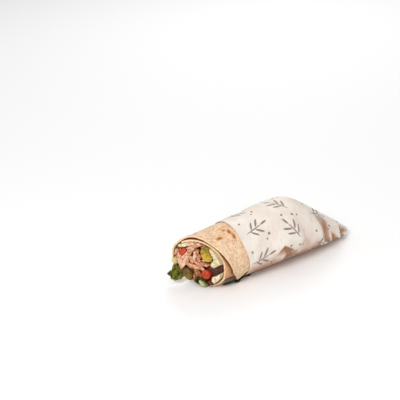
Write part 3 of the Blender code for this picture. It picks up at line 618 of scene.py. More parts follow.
def rib_finish():
    """The thick pale rib of a lettuce leaf: crisp, wet, with fine lengthwise strings."""
    f = Finish("lettuce_rib", (204, 192, 140), soft=(0.35, (0.8, 1.0, 0.5), 2.0), coat=(0.35, 0.1))
    string = f.noise(f.stretch(f.place(), (0.15, 1.4, 1.4)), 1.0, 3.0)
    f.lay((178, 170, 104), string, 0.35, 0.65)
    f.lay((150, 160, 84), f.number("rim"), 0.7, 1.0, 0.0, 0.6)
    return f.wear(0.25, string, 0.3 * MM)


FINISH = {
    "tortilla": tortilla_finish(),
    "paper": paper_finish(),
    "tuna": tuna_finish(),
    "gherkin_upper": gherkin_finish("gherkin_golden", (208, 168, 44), (176, 134, 22), (92, 80, 8),
                                    (92, 92, 10), (30.0, 38.0)),
    "gherkin_lower": gherkin_finish("gherkin_dark", (132, 100, 4), (88, 66, 2), (44, 38, 2),
                                    (70, 62, 4), (10.0, 16.0)),
    "tomato": tomato_finish("tomato_red", (206, 74, 8), (168, 38, 2), (160, 32, 8)),
    # The bottom piece of tomato is the same red, darkened with painted shade.
    "tomato_bottom": tomato_finish("tomato_red_in_painted_shade", (140, 34, 12), (96, 16, 6), (110, 18, 6)),
    "egg": egg_finish(),
    "olive": olive_finish(),
    "lettuce": leaf_finish("lettuce_green", (40, 46, 2), (110, 108, 10), (146, 144, 52)),
    # The leaves round the stub and under the flap: dark green lettuce, further darkened with painted
    # shade.
    "lettuce_dark": leaf_finish("dark_lettuce_green_with_painted_shade", (34, 36, 8), (58, 62, 14), (88, 92, 36)),
    "rib": rib_finish(),
}


# ------------------------------------------------------------------ tortilla

# Toasted places on the sheet: s and arc from the near side in mm, half sizes, strength.
TOASTS = (
    ((17.8, 25.5), (3.4, 2.0), 1.0),
    ((30.6, 22.4), (2.0, 3.6), 1.0),
    ((29.2, 27.6), (2.0, 3.4), 1.0),
    ((26.4, 31.2), (2.6, 1.6), 0.9),
    ((8.0, 46.0), (4.0, 3.0), 0.7),
    ((20.0, 58.0), (5.0, 3.6), 0.9),
    ((12.0, 72.0), (3.0, 2.6), 0.8),
    ((26.0, 84.0), (4.0, 3.0), 0.7),
)
SHEET_COLUMNS = 300
BARE_TO = (30.0 * MM, 34.0 * MM)        # the surface's relief fades out over this s, under the paper
HELD_UP_FROM = (28.0 * MM, 36.0 * MM)   # from here back the roll lies on the paper
SHADED_PHI = (296.0, 306.0)             # the inner layer is in the flap's shade from here
# Rows behind the cut edge on either side of the sheet: mm from it, then shares of what is left.
OUTER_ROWS = (np.arange(0.0, 36.5, 0.75), np.linspace(0.1, 1.0, 11))
INNER_ROWS = (np.array((0.25, 0.7, 1.5, 2.6, 4.0, 6.0, 9.0, 13.0)), np.linspace(0.15, 1.0, 8))
# Rows round the edge: mm out of it, share of the wall, and the depth in mm that the finish reads.
RIM_ROWS = np.array(((0.10, 0.12, 0.2), (0.22, 0.35, 0.6), (0.22, 0.65, 1.0), (0.10, 0.88, 1.4)))


def tortilla_inset(phi, from_edge):
    inner = smoothstep(TUCK_START, TUCK_END, phi)
    parted = MOUTH_GAP * inner * (1.0 - smoothstep(0.0, PARTED_LENGTH, from_edge))
    droop = FLAP_DROOP * smoothstep(-25.0, FLAP_PHI, phi)
    droop = droop * (1.0 - smoothstep(0.0, DROOP_LENGTH, from_edge))
    return ROLL_INSET + inner * (TORTILLA + LAYER_GAP) + parted - droop - flare_at(phi, from_edge)


def build_tortilla():
    """The rolled sheet as one thin body: outer side, rounded cut edge, inner side."""
    phi = np.linspace(FLAP_PHI, INNER_PHI, SHEET_COLUMNS)[:, None]
    arc = np.radians(phi) * MOUTH_RADIUS
    edge = mouth_edge(phi)
    flat = stacked(1.0, phi * 0.1, 0.0)
    edge = edge + 0.25 * MM * noise_at(flat, 1.0) + 0.12 * MM * noise_at(flat * 3.0, 1.0)
    out_mm, through, rim_depth_mm = RIM_ROWS.T

    def rows_behind(steps_mm, shares):
        near = edge + steps_mm * MM
        return np.concatenate((near, mix(near[:, -1:], ROLL_END, shares)), axis=1)

    outer_s, inner_s = rows_behind(*OUTER_ROWS), rows_behind(*INNER_ROWS)
    rim_s = np.repeat(edge, len(RIM_ROWS), axis=1)

    def surface(s, depth):
        swept = smoothstep(*FLAP_BACK_SPAN, s) * (FLAP_PHI_BACK - FLAP_PHI)
        swept = phi + swept * (1.0 - smoothstep(FLAP_PHI, -15.0, phi))
        lowest = ROLL_INSET * smoothstep(*HELD_UP_FROM, s) + depth
        return roll_point(s, swept, tortilla_inset(phi, s - edge) + depth, lowest)

    def joined(outer, rim, inner):
        """What the outer side, the rim and the inner side have, as one grid."""
        outer, rim, inner = (np.broadcast_to(part, s.shape + np.shape(part)[2:]) for part, s in
                             ((outer, outer_s), (rim, rim_s), (inner, inner_s)))
        return np.concatenate((outer[:, ::-1], rim, inner), axis=1)

    # The wall thins to a rounded end at the flap and at the sheet's inner end.
    ends = np.minimum(phi - FLAP_PHI, INNER_PHI - phi)
    wall = TORTILLA * np.sqrt(np.clip(ends / 3.0, 0.03, 1.0))
    middle = 0.5 * (TORTILLA - wall)

    bare = 1.0 - smoothstep(*BARE_TO, outer_s)
    sheet = stacked(outer_s, arc, 0.0)
    lumps = 0.30 * MM * noise_at(sheet, 9 * MM) + 0.10 * MM * noise_at(sheet, 3 * MM, 5.0)
    toast = np.zeros_like(outer_s)
    for (s_mm, arc_mm), (half_s, half_arc), strength in TOASTS:
        away = np.hypot((outer_s / MM - s_mm) / half_s, (arc / MM - arc_mm) / half_arc)
        toast = np.maximum(toast, strength * (1.0 - smoothstep(0.3, 1.5, away)))
    rise = (lumps - 0.1 * MM + 0.35 * MM * toast) * bare * smoothstep(0.0, 3 * MM, outer_s - edge)
    grid = joined(surface(outer_s, middle - rise),
                  surface(edge - out_mm * MM, middle + wall * through),
                  surface(inner_s, middle + wall))

    columns = grid.shape[1]
    total = SHEET_COLUMNS * columns
    faces = grid_faces(SHEET_COLUMNS, columns, closed=True)
    faces += [list(range(columns))[::-1], list(range(total - columns, total))]
    # Painted shade of the flap on the inner layer: full behind the flap's rim, fading out over 4 mm in
    # front of it.
    under = smoothstep(-4.0 * MM, 0.0, outer_s - mouth_edge(phi - 360.0))
    under = under * smoothstep(*SHADED_PHI, phi)
    sheet_s = joined(outer_s, rim_s, inner_s)
    attributes = {
        "sheet": stacked(sheet_s / MM, arc / MM, joined(0.0, rim_depth_mm, 1.6)),
        "crumb": joined(1.0 - smoothstep(0.0, 0.9 * MM, outer_s - edge), 1.0,
                        0.6 * (1.0 - smoothstep(0.5 * MM, 2 * MM, inner_s - edge))),
        "toast": joined(toast, 0.0, 0.0),
        "under": joined(under, 0.0, 0.0),
    }
    item = add_piece("tortilla_sheet", grid, faces, "tortilla", "tortilla", attributes)
    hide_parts("tortilla")


# ------------------------------------------------------------------ filling

def oval(centre_mm, half_sizes_mm, tilt, sides, squareness):
    """An oval outline in the face; tilt turns its long side, squareness under 1 fills corners."""
    turn = 2 * np.pi * np.arange(sides) / sides
    c, s = np.cos(turn), np.sin(turn)
    along = half_sizes_mm[0] * np.sign(c) * np.abs(c) ** squareness
    across = half_sizes_mm[1] * np.sign(s) * np.abs(s) ** squareness
    return turned(*centre_mm, along, across, tilt) * MM


def turned(y, z, along, across, angle):
    """Places along and across a line that passes y, z at an angle in degrees."""
    lean = math.radians(angle)
    return stacked(y + along * math.cos(lean) - across * math.sin(lean),
                   z + along * math.sin(lean) + across * math.cos(lean))


def polygon(*points_mm):
    return np.array(points_mm) * MM


def resample(outline, count, rounds):
    """The closed outline with evenly spaced points, its corners rounded off in some rounds."""
    closed = np.concatenate((outline, outline[:1]))
    along = np.concatenate(((0.0,), np.cumsum(np.linalg.norm(np.diff(closed, axis=0), axis=1))))
    wanted = np.linspace(0.0, along[-1], count, endpoint=False)
    even = np.stack([np.interp(wanted, along, closed[:, k]) for k in (0, 1)], axis=-1)
    for _ in range(rounds):
        even = 0.5 * even + 0.25 * (np.roll(even, 1, axis=0) + np.roll(even, -1, axis=0))
    return even


STRIP_SIDES = 72
# Each strip: its outline in the cut face, how far its end stands out and domes, in mm.
STRIPS = {
    "gherkin_upper": (polygon(
        (-3.5, 9.3), (-3.7, 11.8), (-4.8, 14.5), (-6.8, 16.7), (-9.0, 17.1), (-10.2, 15.4),
        (-10.9, 12.5), (-11.7, 9.9), (-13.2, 7.7), (-13.3, 5.5), (-12.2, 3.5), (-10.0, 2.1),
        (-7.2, 2.0), (-5.0, 3.3), (-3.8, 5.9)), 0.6, 0.8),
    "egg_right": (polygon(
        (-11.3, 15.6), (-13.6, 14.0), (-15.9, 11.4), (-17.7, 8.4), (-18.9, 5.0), (-19.5, 1.6),
        (-17.9, 0.7), (-16.1, -0.4), (-14.5, -2.0), (-12.2, -2.9), (-10.7, -2.2), (-10.4, -0.4),
        (-11.0, 1.2), (-12.7, 3.0), (-13.9, 5.1), (-13.8, 7.9), (-12.3, 10.2), (-11.5, 12.6)),
        0.4, 0.5),
    "olive": (polygon(
        (-9.6, -5.4), (-10.2, -4.2), (-11.6, -3.6), (-14.0, -2.9), (-15.9, -1.3), (-17.6, -0.2),
        (-19.4, 0.5), (-19.4, -2.5), (-18.9, -4.9), (-17.0, -5.6), (-15.2, -6.7), (-13.2, -7.7),
        (-11.2, -8.0), (-10.0, -7.0)), -0.6, 0.3),
    "egg_lower": (polygon(
        (-9.5, -12.2), (-10.0, -10.4), (-11.4, -9.0), (-13.6, -8.4), (-15.6, -7.2), (-17.4, -6.2),
        (-18.9, -5.7), (-19.2, -8.5), (-17.4, -11.5), (-14.9, -13.6), (-12.4, -15.4),
        (-10.4, -15.4), (-9.5, -14.0)), 1.0, 0.6),
    "gherkin_lower": (oval((9.8, -12.6), (6.1, 3.6), 84, 40, 0.8), 1.6, 0.8),
    "tomato_upper": (polygon(
        (9.2, 8.2), (10.9, 6.2), (12.5, 4.0), (14.0, 2.8), (15.4, 3.3), (16.0, 4.9),
        (15.0, 7.0), (13.4, 9.4), (12.0, 11.2), (10.4, 12.1), (8.9, 11.5), (8.2, 10.1)), 0.8, 0.6),
    "tomato_lower": (polygon(
        (-1.7, -11.2), (-1.8, -9.2), (-2.9, -7.0), (-4.2, -5.2), (-5.8, -4.4), (-7.3, -4.9),
        (-8.4, -6.5), (-9.0, -8.2), (-8.2, -10.2), (-7.0, -12.2), (-5.2, -13.1), (-3.0, -12.7)),
        1.0, 0.7),
    "tomato_bottom": (polygon(
        (-6.5, -14.0), (-7.6, -13.8), (-8.5, -14.7), (-8.8, -16.1), (-8.5, -17.4), (-7.8, -17.9),
        (-7.3, -16.9), (-6.7, -15.5)), 0.4, 0.5),
    "egg_upper": (oval((9.9, 15.1), (6.7, 2.3), 152, 40, 0.85), 0.3, 0.4),
    "rib_bottom": (oval((-2.6, -17.9), (3.0, 1.7), 58, 40, 0.95), 2.6, 1.2),
}
# How much each strip's cut end is broken up, in mm, and the size of those lumps.
ROUGH_END = {"gherkin": (0.3, 3.0), "tomato": (0.8, 3.0), "egg": (0.6, 3.2), "olive": (1.1, 2.0),
             "rib": (0.1, 2.0)}
END_SHARES = (0.12, 0.25, 0.38, 0.5, 0.62, 0.74, 0.85, 0.93, 0.98)   # the rings of its cut end
STRIP_STEPS = (0.004, 0.012, 0.025, 0.045, 0.08, 0.14, *ALONG)       # and those behind it


def build_strip(name, outline, proud_mm, dome_mm):
    """A strip of filling that runs the length of the roll, with a finely shaped cut end."""
    kind = name.split("_")[0]
    rough_mm, lump_mm = ROUGH_END[kind]
    shape = resample(outline, STRIP_SIDES, 2)
    middle = shape.mean(axis=0)
    wobble = 1.0 + 0.04 * noise_at(stacked(*shape.T, 0.0), 2.5 * MM, len(name))[:, None]
    seed = float(sum(map(ord, name)))

    rings = []
    for scale in END_SHARES:
        y, z = (middle + (shape - middle) * scale * mix(1.0, wobble, scale)).T
        lumps = rough_mm * MM * noise_at(stacked(y, z, 0.0), lump_mm * MM, seed)
        fall = (1.0 - scale ** 6) ** 0.5
        rings.append(fill_point(y, z, 0.0, proud_mm * MM + dome_mm * MM * fall + lumps * fall))
    y, z = (middle + (shape - middle) * wobble).T
    rings += [fill_point(y, z, t, proud_mm * MM) for t in STRIP_STEPS]
    points, faces = tube(np.stack(rings), fill_point(*middle, 0.0, (proud_mm + dome_mm) * MM),
                         fill_point(*middle, 1.0))
    shares = np.repeat(END_SHARES + (1.0,) * len(STRIP_STEPS), STRIP_SIDES)
    item = add_piece(name + "_piece", points, faces, name if name in FINISH else kind, kind,
                     {"rim": np.concatenate((shares, (0.0, 1.0)))})
    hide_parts(name)


# ------------------------------------------------------------------ tuna

CORE_SIDES = 120
CORE_SHARES = (0.08, 0.18, 0.28, 0.38, 0.48, 0.58, 0.68, 0.78, 0.87, 0.95)
CORE_RECESS = 2.4 * MM       # the core lies this far behind the cut
FLAKE_SEED = 21

# The chunks that show most: y, z, half length, half width, turn, how far out, tone.
LARGE_FLAKES = (
    (12.8, -1.2, 6.4, 2.2, 112, 1.2, 1.0),
    (16.6, 1.2, 5.0, 1.8, 104, 0.7, 0.85),
    (15.6, -5.2, 4.6, 1.8, 100, 1.0, 0.95),
    (9.6, 2.6, 6.2, 1.7, 116, 1.4, 0.9),
    (6.6, 8.2, 6.4, 1.7, 120, 0.9, 0.9),
    (9.6, -3.6, 4.6, 1.5, 42, 0.6, 0.75),
    (3.2, -4.4, 5.4, 1.7, 10, 1.0, 0.7),
    (5.6, 0.6, 4.2, 1.3, 96, 0.6, 0.8),
    (2.6, 4.8, 5.0, 1.5, 112, 0.9, 0.75),
    (-0.8, 4.2, 3.6, 1.3, 118, 0.6, 0.6),
    (3.6, 12.0, 5.0, 1.5, 128, 0.7, 0.8),
    (-0.8, 16.2, 4.4, 1.4, 152, 1.0, 0.85),
    (4.6, 16.6, 3.6, 1.3, 158, 0.9, 0.95),
    (-3.0, -0.8, 4.8, 1.7, 170, 0.8, 0.45),
    (-7.6, -0.4, 3.0, 1.2, 160, 0.6, 0.4),
    (1.2, -0.6, 3.6, 1.4, 30, 1.0, 0.6),
    (-7.4, 18.3, 3.2, 1.1, 158, 0.8, 0.8),
    (3.4, -10.0, 4.6, 1.4, 76, 0.7, 0.35),
    (5.0, -15.6, 4.4, 1.1, 96, 1.2, 0.2),
    (0.4, -10.4, 3.6, 1.4, 58, 0.6, 0.35),
    (6.6, -6.4, 3.6, 1.2, 4, 0.2, 0.4),
    (17.6, 6.4, 3.4, 1.1, 118, 1.2, 0.6),
    (-9.2, -17.8, 2.8, 1.1, 168, 0.4, 0.5),
    (-0.6, -5.6, 3.0, 1.2, 20, 0.3, 0.5),
    (6.0, 12.6, 3.2, 1.1, 140, 0.4, 0.9),
    (0.2, 8.6, 3.4, 1.3, 104, 0.3, 0.5),
)
# Smaller ones: how many, half length, half width, how far out, how much they may tilt and turn.
SCATTERED = (
    (46, (1.8, 3.2), (0.9, 1.5), (-1.2, 0.5), 25, 40),
    (60, (0.9, 1.7), (0.6, 1.0), (-1.0, 1.1), 40, 60),
    (22, (1.4, 2.6), (0.22, 0.4), (-0.4, 0.8), 20, 50),
)


def build_core():
    """The body of the tuna behind the flakes, as rough as pressed flakes at the cut."""
    turns = FLAP_PHI + 360.0 * np.arange(CORE_SIDES) / CORE_SIDES
    widest = MOUTH_RADIUS - fill_inset(turns)
    rings = []
    for share in CORE_SHARES:
        y, z = around(share * widest, turns)
        spot = stacked(y, z, 0.0)
        lumps = 0.9 * MM * np.abs(noise_at(spot, 2.6 * MM)) + 0.4 * MM * noise_at(spot, 1.2 * MM, 3.0)
        rings.append(fill_point(y, z, 0.0, -CORE_RECESS + lumps))
    y, z = around(widest - 0.05 * MM, turns)
    rings += [fill_point(y, z, t, -CORE_RECESS) for t in (0.0, 0.03, 0.08, *ALONG)]
    return tube(np.stack(rings), fill_point(0.0, 0.01 * MM, 0.0, -CORE_RECESS),
                fill_point(0.0, 0.01 * MM, 1.0))


def flake_points(y, z, half_length, half_width, turn, proud, tilt, rng):
    """One chunk: a blocky bundle of fibres with ragged ends that lies roughly in the cut face."""
    along_count = 8 if half_width < 0.4 * MM else 16
    round_count = 6 if half_width < 0.4 * MM else 14 if half_width < 1.0 * MM else 30
    u = np.linspace(-1.0, 1.0, along_count)[:, None]
    v = 2 * np.pi * np.arange(round_count)[None, :] / round_count
    phase = [rng.uniform(0, 2 * math.pi) for _ in range(8)]
    block = (np.abs(np.cos(v)) ** 4 + np.abs(np.sin(v)) ** 4) ** -0.25
    fibres = (0.09 * np.sin(4 * v + phase[0] + 0.9 * u) + 0.07 * np.sin(7 * v + phase[1] - 0.7 * u)
              + 0.05 * np.sin(11 * v + phase[2] + 0.5 * u))
    lumps = 0.10 * np.sin(2.6 * u + phase[3]) + 0.07 * np.sin(6.0 * u + 2 * v + phase[4])
    girth = (1.0 - np.abs(u) ** rng.uniform(4.0, 7.0)) ** 0.5 * 0.6 + 0.4
    girth = girth * (1.0 - rng.uniform(0.0, 0.35) * u * rng.choice((-1, 1)))
    radius = half_width * girth * mix(1.0, block, 0.75) * (1.0 + fibres + lumps)
    ends = (1.0 + 0.10 * np.sin(3 * v + phase[5]) + 0.09 * np.sin(5 * v + phase[6])
            + 0.06 * np.sin(9 * v + phase[7]))
    along = half_length * u * mix(1.0, ends, np.abs(u) ** 3)
    twist = v + rng.uniform(-0.4, 0.4) * u
    bow_size, most = (half_width, 0.7) if half_width > 0.5 * MM else (half_length, 0.35)
    bow = bow_size * rng.uniform(-most, most)
    across = radius * np.cos(twist) + bow * u * u
    depth = rng.uniform(0.6, 0.85) * radius * np.sin(twist)
    depth = depth + 0.25 * half_width * rng.uniform(-1, 1) * u * u
    out = proud - 0.55 * half_width + depth + along * math.tan(math.radians(tilt))
    grain = stacked(along / MM, v * half_width / MM, rng.uniform(0, 90))
    return turned(y, z, along, across, turn), out, grain, fibres


def place_on_face(y, z, out):
    """World points at y, z of the cut face, out of it by a distance, held inside the roll."""
    limit = (MOUTH_RADIUS - fill_inset(phi_of(y, z)) - 0.15 * MM) / np.maximum(np.hypot(y, z), 1e-9)
    shrink = np.minimum(1.0, limit)
    return fill_point(y * shrink, z * shrink, 0.0, out)


def inside(outline, y, z):
    hit = False
    for (y1, z1), (y2, z2) in zip(outline, np.roll(outline, -1, axis=0)):
        if (z1 > z) != (z2 > z) and y < (y2 - y1) * (z - z1) / (z2 - z1) + y1:
            hit = not hit
    return hit


def near_strip(y, z, margin):
    """Whether a place in the face lies on one of the strips or within a margin of it."""
    turns = [math.radians(45 * k) for k in range(8)]
    spots = [(y + margin * math.cos(turn), z + margin * math.sin(turn)) for turn in turns] + [(y, z)]
    return any(inside(outline, *spot) for outline, _, _ in STRIPS.values() for spot in spots)


def flow(y, z):
    """The way the flakes lie at a place in the face, in degrees: they curl with the roll."""
    return 112.0 + 2.2 * max(0.0, z / MM - 6.0) - 3.5 * max(0.0, -y / MM)


def build_tuna():
    rng = random.Random(FLAKE_SEED)
    bodies = [build_core()]
    core = bodies[0][0]
    # The core behind the flakes carries nearly full painted shade.
    grains, tones, hollow_shades = [core / MM * 0.8], [np.full(len(core), 0.3)], [np.full(len(core), 0.95)]

    def put(y, z, half_length, half_width, turn, proud, tilt, tone):
        at, out, grain, fibres = flake_points(y, z, half_length, half_width, turn, proud, tilt, rng)
        world = place_on_face(at[..., 0], at[..., 1], out)
        bodies.append(tube(world, *world[[0, -1]].mean(axis=1)))
        grains.append(np.concatenate((grain.reshape(-1, 3), grain[[0, -1], 0])))
        tones.append(np.full(out.size + 2, tone))
        # Painted shade: the further back a flake lies, and in the grooves between its fibres, the
        # darker it is painted.
        hollow_shade = smoothstep(0.6 * MM, -1.1 * MM, out) + smoothstep(0.04, -0.14, fibres) * 0.3
        hollow_shades.append(np.concatenate((np.minimum(hollow_shade, 1.0).ravel(), hollow_shade[[0, -1]].mean(axis=1))))

    for y, z, half_length, half_width, turn, proud, tone in LARGE_FLAKES:
        put(y * MM, z * MM, half_length * MM, half_width * MM, turn, proud * MM,
            rng.uniform(-8, 8), tone)
    for count, lengths, widths, prouds, tilt, swing in SCATTERED:
        placed = 0
        while placed < count:
            y, z = rng.uniform(-20, 22) * MM, rng.uniform(-21, 21) * MM
            if math.hypot(y, z) > MOUTH_RADIUS - fill_inset(phi_of(y, z)) - 0.8 * MM:
                continue
            half_length = rng.uniform(*lengths) * MM
            if near_strip(y, z, 0.5 * half_length):
                continue
            placed += 1
            put(y, z, half_length, rng.uniform(*widths) * MM, flow(y, z) + rng.gauss(0, swing),
                rng.uniform(*prouds) * MM, rng.uniform(-tilt, tilt), rng.uniform(0.0, 1.1))
    # The depth attribute carries the painted shade of the hollows.
    item = add_piece("tuna_flakes", *merged(bodies), "tuna", "tuna",
                     {"grain": np.concatenate(grains), "tone": np.concatenate(tones),
                      "depth": np.concatenate(hollow_shades)})
    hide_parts("tuna")


# ------------------------------------------------------------------ lettuce

TONGUE = 9.5 * MM            # how far the lining leaf hangs out of the mouth where it does
LINING_BACK = 2.0 * MM       # elsewhere its edge lies this far behind the tortilla's
RIB_REACH = 3.6 * MM         # its rib reaches forwards by this much
LINING_TONGUE = (190.0, 206.0, 216.0, 238.0)   # where the tongue starts, is full, falls and ends
LINING_MM_PER_DEGREE = 0.42
ARCH_CENTRE = (-1.6 * MM, -18.7 * MM)          # y and z of the stub that the dark leaf goes round
ARCH_WIDTH, ARCH_RISE = 5.4 * MM, 4.4 * MM


def add_leaf(name, finish, layers):
    """A leaf of one or more layers: grid, wall, place on the flat leaf in mm, share of the rib."""
    bodies, places, ribs = [], [], []
    for grid, wall, place, rib in layers:
        bodies.append(thin_solid(grid, wall))
        places.append(np.tile(stacked(*place).reshape(-1, 3), (2, 1)))
        ribs.append(np.tile(np.broadcast_to(rib, grid.shape[:2]).ravel(), 2))
    return add_piece(name, *merged(bodies), finish, "lettuce",
                     {"leaf": np.concatenate(places), "rib": np.concatenate(ribs)})


def build_lining():
    """The leaf inside the far wall, whose frilled lower part hangs out of the mouth."""
    phi = np.linspace(150.0, 256.0, 120)[:, None]
    hanging = -np.linspace(1.0, 0.0, 26, endpoint=False)
    t = np.concatenate((hanging, (0.0, 0.02, 0.05, 0.08, 0.15, *ALONG)))[None, :]
    tongue = hump(*LINING_TONGUE, phi)
    rib = rib_share(phi)
    start = mouth_edge(phi) - GAP + LINING_BACK * (1.0 - tongue) - RIB_REACH * rib
    out = -np.minimum(t, 0.0) * mix(0.5 * LINING_BACK, TONGUE, tongue)
    s = mix(start, ROLL_END, np.maximum(t, 0.0)) - out
    hang = out * tongue
    outside = fill_inset(phi) - RIB * rib_share(phi, RIB_MARGIN) - LEAF_ROOM + 0.2 * MM
    point = roll_point(s, phi, outside + 0.5 * LEAF + 0.5 * RIB * rib * 0.9)
    loose = smoothstep(0.0, 7 * MM, hang)
    arc = phi * LINING_MM_PER_DEGREE
    uneven = noise_at(stacked(arc * 0.35, hang / (4 * MM), 3.0), 1.0)
    frill = (1.2 * np.sin(arc * 1.25 + 0.9) + 0.7 * np.sin(arc * 2.9 + hang / MM * 0.35 + 2.0 * uneven)
             + 0.35 * np.sin(arc * 6.0 + 3.0 * uneven) + 1.3 * uneven) * MM * loose
    point[..., 1] += 0.28 * hang + frill
    point[..., 2] += -0.62 * hang + frill * 0.6
    flat = stacked(phi, 0.0, 0.0)
    ragged = noise_at(flat, 6.0) + 0.7 * noise_at(flat, 2.2, 5.0)
    point[..., 0] += 2.0 * MM * ragged * loose * smoothstep(-0.4, -1.0, t)
    point[..., 2] = np.maximum(point[..., 2], 0.6 * MM)
    wall = mix(LEAF * 0.75, LEAF * 0.4, loose) + 0.9 * RIB * rib
    item = add_leaf("lettuce_lining", "lettuce",
                    [(point, wall, (s / MM, arc, 0.0), smoothstep(0.15, 0.8, rib))])
    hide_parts("lettuce_left")


# Folds of the arched leaf: size, first and last turn in degrees, how deep, how far out in mm.
ARCH_FOLDS = (
    (1.0, 4.0, 176.0, 1.0, 0.0),
    (0.72, 96.0, 178.0, 0.05, 0.4),
    (0.45, 100.0, 178.0, 0.05, -0.3),
    (1.2, 70.0, 150.0, 0.05, -0.4),
)


def build_arch():
    """The dark leaf that arches over the pale stub at the bottom of the mouth."""
    layers = []
    for scale, first_deg, last_deg, deepest, out in ARCH_FOLDS:
        turn_deg = np.linspace(first_deg, last_deg, 60)[:, None]
        t = np.array((0.0, 0.006, 0.015, 0.03, 0.05, 0.08, *ALONG))
        t = t[t <= deepest]
        turn = np.radians(turn_deg)
        ripple = (0.25 * np.sin(turn_deg * 0.12) + 0.25 * np.sin(turn_deg * 0.3)) * MM
        y = ARCH_CENTRE[0] - (ARCH_WIDTH * scale + ripple) * np.cos(turn)
        z = ARCH_CENTRE[1] + (ARCH_RISE * scale + ripple) * np.sin(turn)
        z = z - 1.4 * MM * smoothstep(140.0, 176.0, turn_deg)
        hang = mix(3.2 * MM, 2.2 * MM, np.abs(np.cos(turn)))
        hang = hang + 0.5 * MM * np.sin(turn_deg * 0.23 + 4 * scale)
        point = fill_point(y, z, t, hang + out * MM)
        layers.append((point, LEAF * 0.55, (point[..., 0] / MM, turn_deg * 0.08, 7.0 + scale), 0.0))
    item = add_leaf("lettuce_arch_leaf", "lettuce_dark", layers)
    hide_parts("lettuce_arch")


# The leaf under the flap curls up twice: height, where that starts, is full, falls and ends, mm.
LEAF_CURLS = ((3.2, 20.0, 24.5, 27.0, 30.5), (2.2, 33.0, 37.0, 39.0, 46.0))


def build_under_leaf():
    """A dark leaf squeezed out under the flap."""
    u = np.linspace(0.0, 1.0, 70)[:, None]
    v = np.linspace(0.0, 1.0, 24)[None, :]
    s = mix(20.0 * MM, 49.0 * MM, u)
    bulge = np.sin(math.pi * u ** 0.65)
    outer = mix(-11.2 * MM, -15.2 * MM, bulge) + (0.4 * np.sin(19.0 * u) + 0.3 * np.sin(53.0 * u)) * MM
    y = mix(-9.3 * MM, outer, v)
    wave = 0.2 * MM * (1.0 + np.sin(21.0 * u + 2.0 * v)) * v + 0.2 * MM * np.sin(57.0 * u) * v * v
    curl = sum(height * MM * hump(*places, s / MM) for height, *places in LEAF_CURLS)
    z = 0.1 * MM + LEAF * 0.5 + wave + curl * smoothstep(0.5, 1.0, v)
    point = stacked(s - ORIGIN_S, y - ORIGIN_Y, np.maximum(z, 0.25 * MM))
    item = add_leaf("lettuce_under_flap_leaf", "lettuce_dark",
                    [(point, LEAF * 0.5, (s / MM, y / MM, 21.0), 0.0)])
    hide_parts("lettuce_under_flap")
